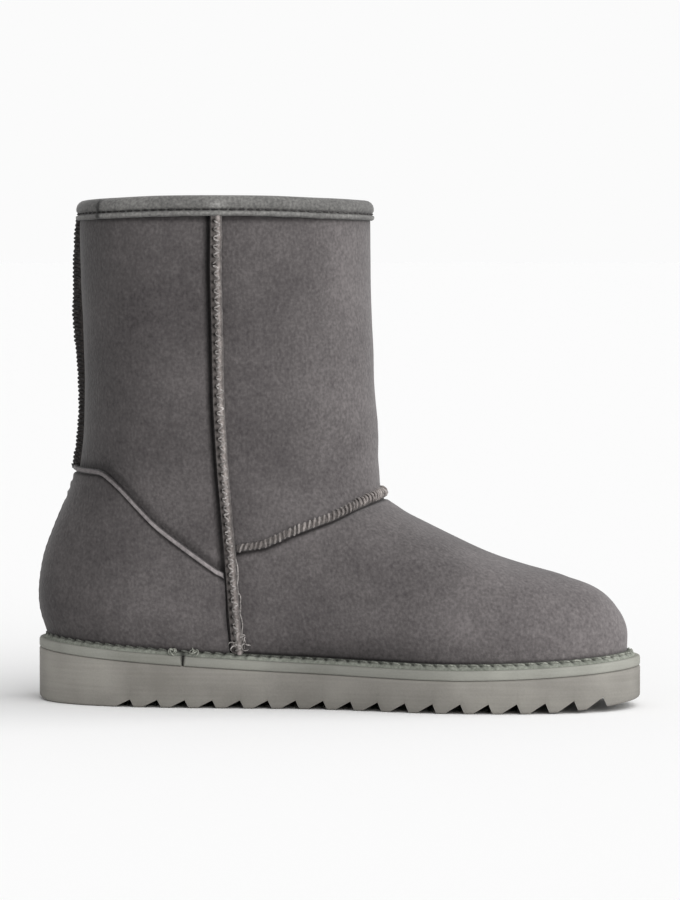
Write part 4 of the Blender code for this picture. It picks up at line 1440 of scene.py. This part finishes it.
def cut_and_softened(form, cutter, bevel):
    """The form with a cutter taken out of it and its sharp edges bevelled, as a new mesh."""
    blank = bpy.data.objects.new("blank", mesh_of("blank", form))
    wedges = bpy.data.objects.new("wedges", mesh_of("wedges", cutter))
    for part in (blank, wedges):
        scene.collection.objects.link(part)
    cut = blank.modifiers.new("tread", "BOOLEAN")
    cut.operation = "DIFFERENCE"
    cut.solver = "EXACT"
    cut.object = wedges
    soft = blank.modifiers.new("soft", "BEVEL")
    soft.width = bevel
    soft.segments = 2
    soft.limit_method = "ANGLE"
    soft.angle_limit = math.radians(40)
    worked_out = blank.evaluated_get(bpy.context.evaluated_depsgraph_get())
    done = bpy.data.meshes.new_from_object(worked_out)
    points = np.array([corner.co for corner in done.vertices])
    faces = [list(face.vertices) for face in done.polygons]
    for part in (blank, wedges):
        bpy.data.objects.remove(part)
    return Form(points, faces)


def rim_turns():
    """Turns round the rim, with more of them by the slit on the inner side and opposite it."""
    at = np.arccos(-2 * SLIT_X / SOLE_LENGTH)
    near = at + np.linspace(-3, 3, 15) * MM / (HEEL_WIDTH + WAIST_WIDTH)
    return np.unique(np.concatenate([turns(SOLE_STEPS), near, 2 * math.pi - near]))


def outsole_shade(points):
    """The foam's shade: darker at the waist and low down, and painted nearly black as shadow in
    the tread's gaps.
    """
    x, y, z = points.T
    over_floor = z - sole_bottom(x)
    shade = (0.93 + 0.1 * eased(over_floor, 5, 3)) * (1 - 0.14 * bell(x, 60 * MM))
    share = np.clip(from_heel(x), 0, 1)
    aside = np.abs(y - TOE_SWING * centre_line(share))
    is_inside = eased(half_width(share, SOLE_OUTLINE) - aside, 0.05, 0.15)
    is_gap = eased(over_floor, 1.5, 0.5) * (1 - eased(over_floor, 6, 1))
    return shade * (1 - 0.85 * is_inside * is_gap)


def make_outsole():
    body = []
    for inset, rise in SOLE_FOOT:
        body.append(sole_ring(inset * MM, lambda x: sole_bottom(x) + rise * MM))
    for inset, drop in SOLE_HEAD:
        body.append(sole_ring(inset * MM, lambda x: sole_top(x) - RIM_THICKNESS - drop * MM))
    form = cut_and_softened(slab(np.array(body)), tread_cutters(), EDGE_BEVEL)
    shade = outsole_shade(form.points)
    make_piece("outsole_foam", form, foam, shade, 35, ("outsole",))


def make_sole_rim():
    at = rim_turns()
    edge_x, edge_y = sole_edge(at).T
    rim, slits = [], []
    for inset, drop in RIM_SIDE:
        slit = bell(edge_x - SLIT_X, (0.95 - 0.15 * drop) * MM) * (edge_y < 0)
        slits.append(slit)
        cut = inset * MM + SLIT_DEPTH * slit
        rim.append(sole_ring(cut, lambda x: sole_top(x) - drop * MM, at))
    form = slab(np.array(rim))
    lit = 0.98 - 0.14 * bell(edge_x, 50 * MM) + 0.22 * eased(edge_x, 30, 55)
    # The slit is painted nearly black as shadow
    shade = np.tile(lit, len(RIM_SIDE)) * (1 - 0.95 * np.concatenate(slits))
    make_piece("sole_rim_foam", form, rim_foam, shade, 50, ("sole_rim",))


make_outsole()
make_sole_rim()

# %% [markdown]
# A narrow strip, the welt, closes the corner between upper and sole, and a lock stitch along it
# holds the upper down: pale links with a needle hole between them, painted dark as shade. At the
# heel the strip is darker, with painted shadow in its corner by the upper and fainter holes, and
# round the toe it is as pale as the foam. At one place on the inner side the strip's two ends
# meet over a slit in the rim, painted dark as shadow, with a few loose threads beside it.

# %% Welt and its stitches
WELT_COLUMNS = 1200
WELT_PITCH = 5.0 * MM
WELT_SHARES = 9
FRAYED_X = (-69 * MM, -59 * MM)
# One link of the lock stitch as (mm along, mm across, mm out)
WELT_LINK = (
    (0.0, 0.3, -0.35), (0.3, 0.3, 0.0), (1.2, 0.1, 0.2), (2.2, -0.1, 0.2), (3.1, -0.3, 0.0),
    (3.4, -0.3, -0.35),
)

GLUED = (Pattern(20, 2, 0.4, 0.0), Pattern(1.2, 3, 0.6, 1.0))
welt_strip = patterned(
    "glued_welt_tape", ("#72756c", "#8a8d84", "#9fa298"), 0.16, GLUED, 0.15, 0.8, 0.2
)
welt_thread = bonded_thread("dusty_polyester_thread", ("#7b7e75", "#95978e", "#adafa5"))


def welt_face(turn, share):
    """A point of the welt's outer face: share 0 on the upper, 1 on the sole's ledge."""
    turn, share = np.broadcast_arrays(turn, share)
    wall = skin(turn, welt_level(turn), 0.1 * MM)
    rim = sole_edge(turn, LEDGE - GAP - WELT_WIDTH)
    edge = np.concatenate([rim, (sole_top(rim[..., 0]) + 0.1 * MM)[..., None]], axis=-1)
    crest = 0.4 * wall + 0.6 * edge
    crest[..., 2] = wall[..., 2] + 0.2 * MM
    share = share[..., None]
    return (1 - share) ** 2 * wall + 2 * share * (1 - share) * crest + share**2 * edge


def welt_shade(x, share=0.4):
    """The welt's shade: painted dark as shadow by the upper at the heel, pale at the toe and by
    the sole's edge.
    """
    is_pale = smooth((from_heel(x) - 0.45) / 0.3)
    return 0.42 + 0.58 * np.maximum(is_pale, 0.8 * smooth((share - 0.45) / 0.35))


def make_welt():
    round_turn = np.linspace(0, 2 * math.pi, WELT_COLUMNS + 1)
    middle = welt_face(round_turn, 0.5)
    slope = welt_face(round_turn, 0.7) - welt_face(round_turn, 0.3)
    out = unit(np.cross(np.gradient(middle, axis=0), slope))
    line = line_over(middle, out * np.sign(out[:, 2:]))
    distance = line.distance[:-1, None]
    share = np.linspace(0, 1, WELT_SHARES)
    hole = bell(from_nearest(distance, WELT_PITCH), 0.85 * MM) * bell(share - 0.5, 0.24)
    face = welt_face(round_turn[:-1, None], share[None, :])
    face = face - 0.5 * MM * hole[..., None] * line.up[:-1, None]
    wall_foot = np.concatenate([face[:, :1, :2], face[:, -1:, 2:]], axis=-1)
    points = np.concatenate([face, wall_foot], axis=1)
    from_slit = np.hypot(points[..., 0] - SLIT_X, np.maximum(0, points[..., 1]))
    is_heel = 1 - eased(face[:, :1, 0], -75, 50)
    # Painted shade in the needle holes, fainter at the heel, in the corner by the upper and at the
    # slit
    dark_hole = (0.88 - 0.6 * is_heel) * hole
    dark_corner = (0.75 + 0.15 * is_heel) * bell(share, 0.3)
    tone = np.hstack([(1 - dark_hole) * (1 - dark_corner), np.ones_like(distance)])
    shade = welt_shade(points[..., 0], np.append(share, 1.0)) * tone
    shade = shade * (1 - 0.85 * bell(from_slit, 1.6 * MM))
    form = rings(points, True)
    make_piece("welt_strip", form, welt_strip, shade.ravel(), replaced=("welt",))
    starts = np.arange(0.8 * MM, line.distance[-1] - WELT_PITCH, WELT_PITCH)
    form = stitches(line, starts, WELT_LINK, 0.42 * MM)
    dusty = 0.9 + 0.3 * soft_noise(form.points, 4 * MM, 4.0)
    # The stitches take the strip's painted shadow at the heel
    shade = welt_shade(form.points[:, 0]) * dusty
    make_piece("welt_stitches", form, welt_thread, shade)
    inner = np.where(line.points[:, 1] < 0, line.points[:, 0], 1.0)
    places = [(line.distance[np.argmin(np.abs(inner - x))], 0.6 * MM) for x in FRAYED_X]
    make_piece("welt_frays", frayed(line, places, 5, 3.2 * MM, 0.3 * MM), welt_thread)


make_welt()

# %% [markdown]
# Inside, the boot is sheepskin with the wool on: a pile about 7 mm deep that curls into small
# locks. Each lock would be hundreds of hairs. Seen from above the collar they read as lumps with
# a curled thread here and there, so the lining is a lumpy skin with loose curls set on it where
# light reaches.

# %% Fleece lining and footbed
PILE = 7 * MM
LOCK_SIZE = 5 * MM
LINING_COLUMNS = 220
LINING_ROWS = 96
LINING_DEPTH_MM = 160
# Rows of the lining near its top, in mm below the collar
TOP_DROPS_MM = (4, 6, 8.5, 9.6, 10.8, 12.2)
# The pile is shorn under the binding: (mm below the collar, share of the full pile)
SHORN = ((4, 0.12), (9.3, 0.2), (11.5, 0.75), (15, 1.0), (LINING_DEPTH_MM, 1.0))
CURLS = 3600
CURL_STEPS = 8
CURL_SIDES = 3
CURL_RADIUS = 0.42 * MM
CURL_TURNS = 1.3
HIDE_OFFSET = 0.2 * MM
WOOL = (Pattern(2.2, 4, 1.0, 1.0),)

# Wool fleece: no gloss and a strong sheen. The meshes paint shade between its locks
fleece = patterned(
    "curled_wool_fleece", ("#8a857f", "#a49f99", "#bdb8b2"), 0.16, WOOL, 0.6, 1.0, 0.1, 0.5
)


def lumps(points, seed):
    """Heights from 0 to 1 of rounded locks with sharp valleys between them."""
    broad = np.abs(soft_noise(points, LOCK_SIZE, seed))
    fine = np.abs(soft_noise(points, 0.45 * LOCK_SIZE, seed + 4))
    return np.clip(1.3 * broad, 0, 1) * 0.7 + np.clip(1.3 * fine, 0, 1) * 0.3


def make_lining():
    turn = turns(LINING_COLUMNS)
    drops = np.append(TOP_DROPS_MM, np.linspace(14, LINING_DEPTH_MM, LINING_ROWS)) * MM
    piles = between(SHORN, drops / MM)
    top = surface(turn, np.full_like(turn, COLLAR_SECTION))[:, 2]
    floor_z = surface(turn, np.full_like(turn, 0.35))[:, 2]
    heights = np.maximum(top - drops[:, None], floor_z)
    turn = np.broadcast_to(turn, heights.shape)
    level = level_at_height(turn, heights)
    lump = lumps(surface(turn, level), 1.0)
    depth = UPPER_WALL + piles[:, None] * PILE * (0.35 + 0.65 * lump)
    inside = shell(turn, level, -depth)
    hide = shell(turn[::-6], level[::-6], -UPPER_WALL - HIDE_OFFSET)
    # The valleys between locks are painted darker as shade
    shade = np.concatenate([(0.55 + 0.45 * lump).ravel(), np.ones(hide[..., 0].size)])
    form = rings(np.concatenate([inside, hide]), True)
    make_piece("fleece_lining", form, fleece, shade, 180)


def make_curls():
    turn = chance.uniform(0, 2 * math.pi, CURLS)
    top = surface(turn, np.full_like(turn, COLLAR_SECTION))[:, 2]
    height = top - (11 + 95 * chance.uniform(0, 1, CURLS) ** 1.4) * MM
    level = level_at_height(turn, height)
    around, _, normal = surface_axes(turn, level)
    start = shell(turn, level, -(UPPER_WALL + 0.6 * PILE))
    lean = chance.normal(0, 0.35, (CURLS, 3))
    inward = unit(-normal + lean)
    first = unit(np.cross(inward, around))
    second = np.cross(inward, first)
    share = np.linspace(0, 1, CURL_STEPS)
    angle = chance.uniform(0, 2 * math.pi, CURLS)[:, None] + 2 * math.pi * CURL_TURNS * share
    radius = (chance.uniform(0.7, 1.5, CURLS) * MM)[:, None] * (0.4 + 0.6 * share)
    length = chance.uniform(1.5, 3.4, CURLS)[:, None] * MM
    paths = start[:, None] + (length * share)[..., None] * inward[:, None]
    paths = paths + (radius * np.cos(angle))[..., None] * first[:, None]
    paths = paths + (radius * np.sin(angle))[..., None] * second[:, None]
    ups = np.broadcast_to(inward[:, None], paths.shape)
    form = threads(paths, ups, CURL_RADIUS, CURL_SIDES)
    shade = np.repeat(chance.uniform(0.85, 1.1, CURLS), CURL_STEPS * CURL_SIDES)
    make_piece("fleece_curls", form, fleece, shade, 180)


def make_footbed():
    stations = np.linspace(0.06, math.pi - 0.06, 150)
    inset = LEDGE + UPPER_WALL + 3 * GAP
    outer = sole_edge(stations, inset)
    inner = sole_edge(-stations, inset)
    across = np.linspace(0, 1, 60)[None, :, None]
    flat = outer[:, None] + (inner - outer)[:, None] * across
    seat = sole_top(flat[..., 0]) + GAP
    base = np.concatenate([flat, seat[..., None]], axis=-1)
    lump = lumps(base, 6.0)
    rim = smooth(across[..., 0] / 0.05) * smooth((1 - across[..., 0]) / 0.05)
    pile = INSOLE_THICKNESS * (0.4 + rim * (0.35 + 0.5 * lump))
    top = base + pile[..., None] * UP
    bottom = base[:, ::-6]
    sections = np.concatenate([top, bottom], axis=1)
    # The valleys between locks are painted darker as shade
    shade = np.concatenate([0.6 + 0.4 * lump, np.ones(bottom.shape[:2])], axis=1)
    bed = make_piece(
        "footbed_fleece", rings(sections, False), fleece, shade.ravel(), 180, ("insole",)
    )


make_lining()
make_curls()
make_footbed()
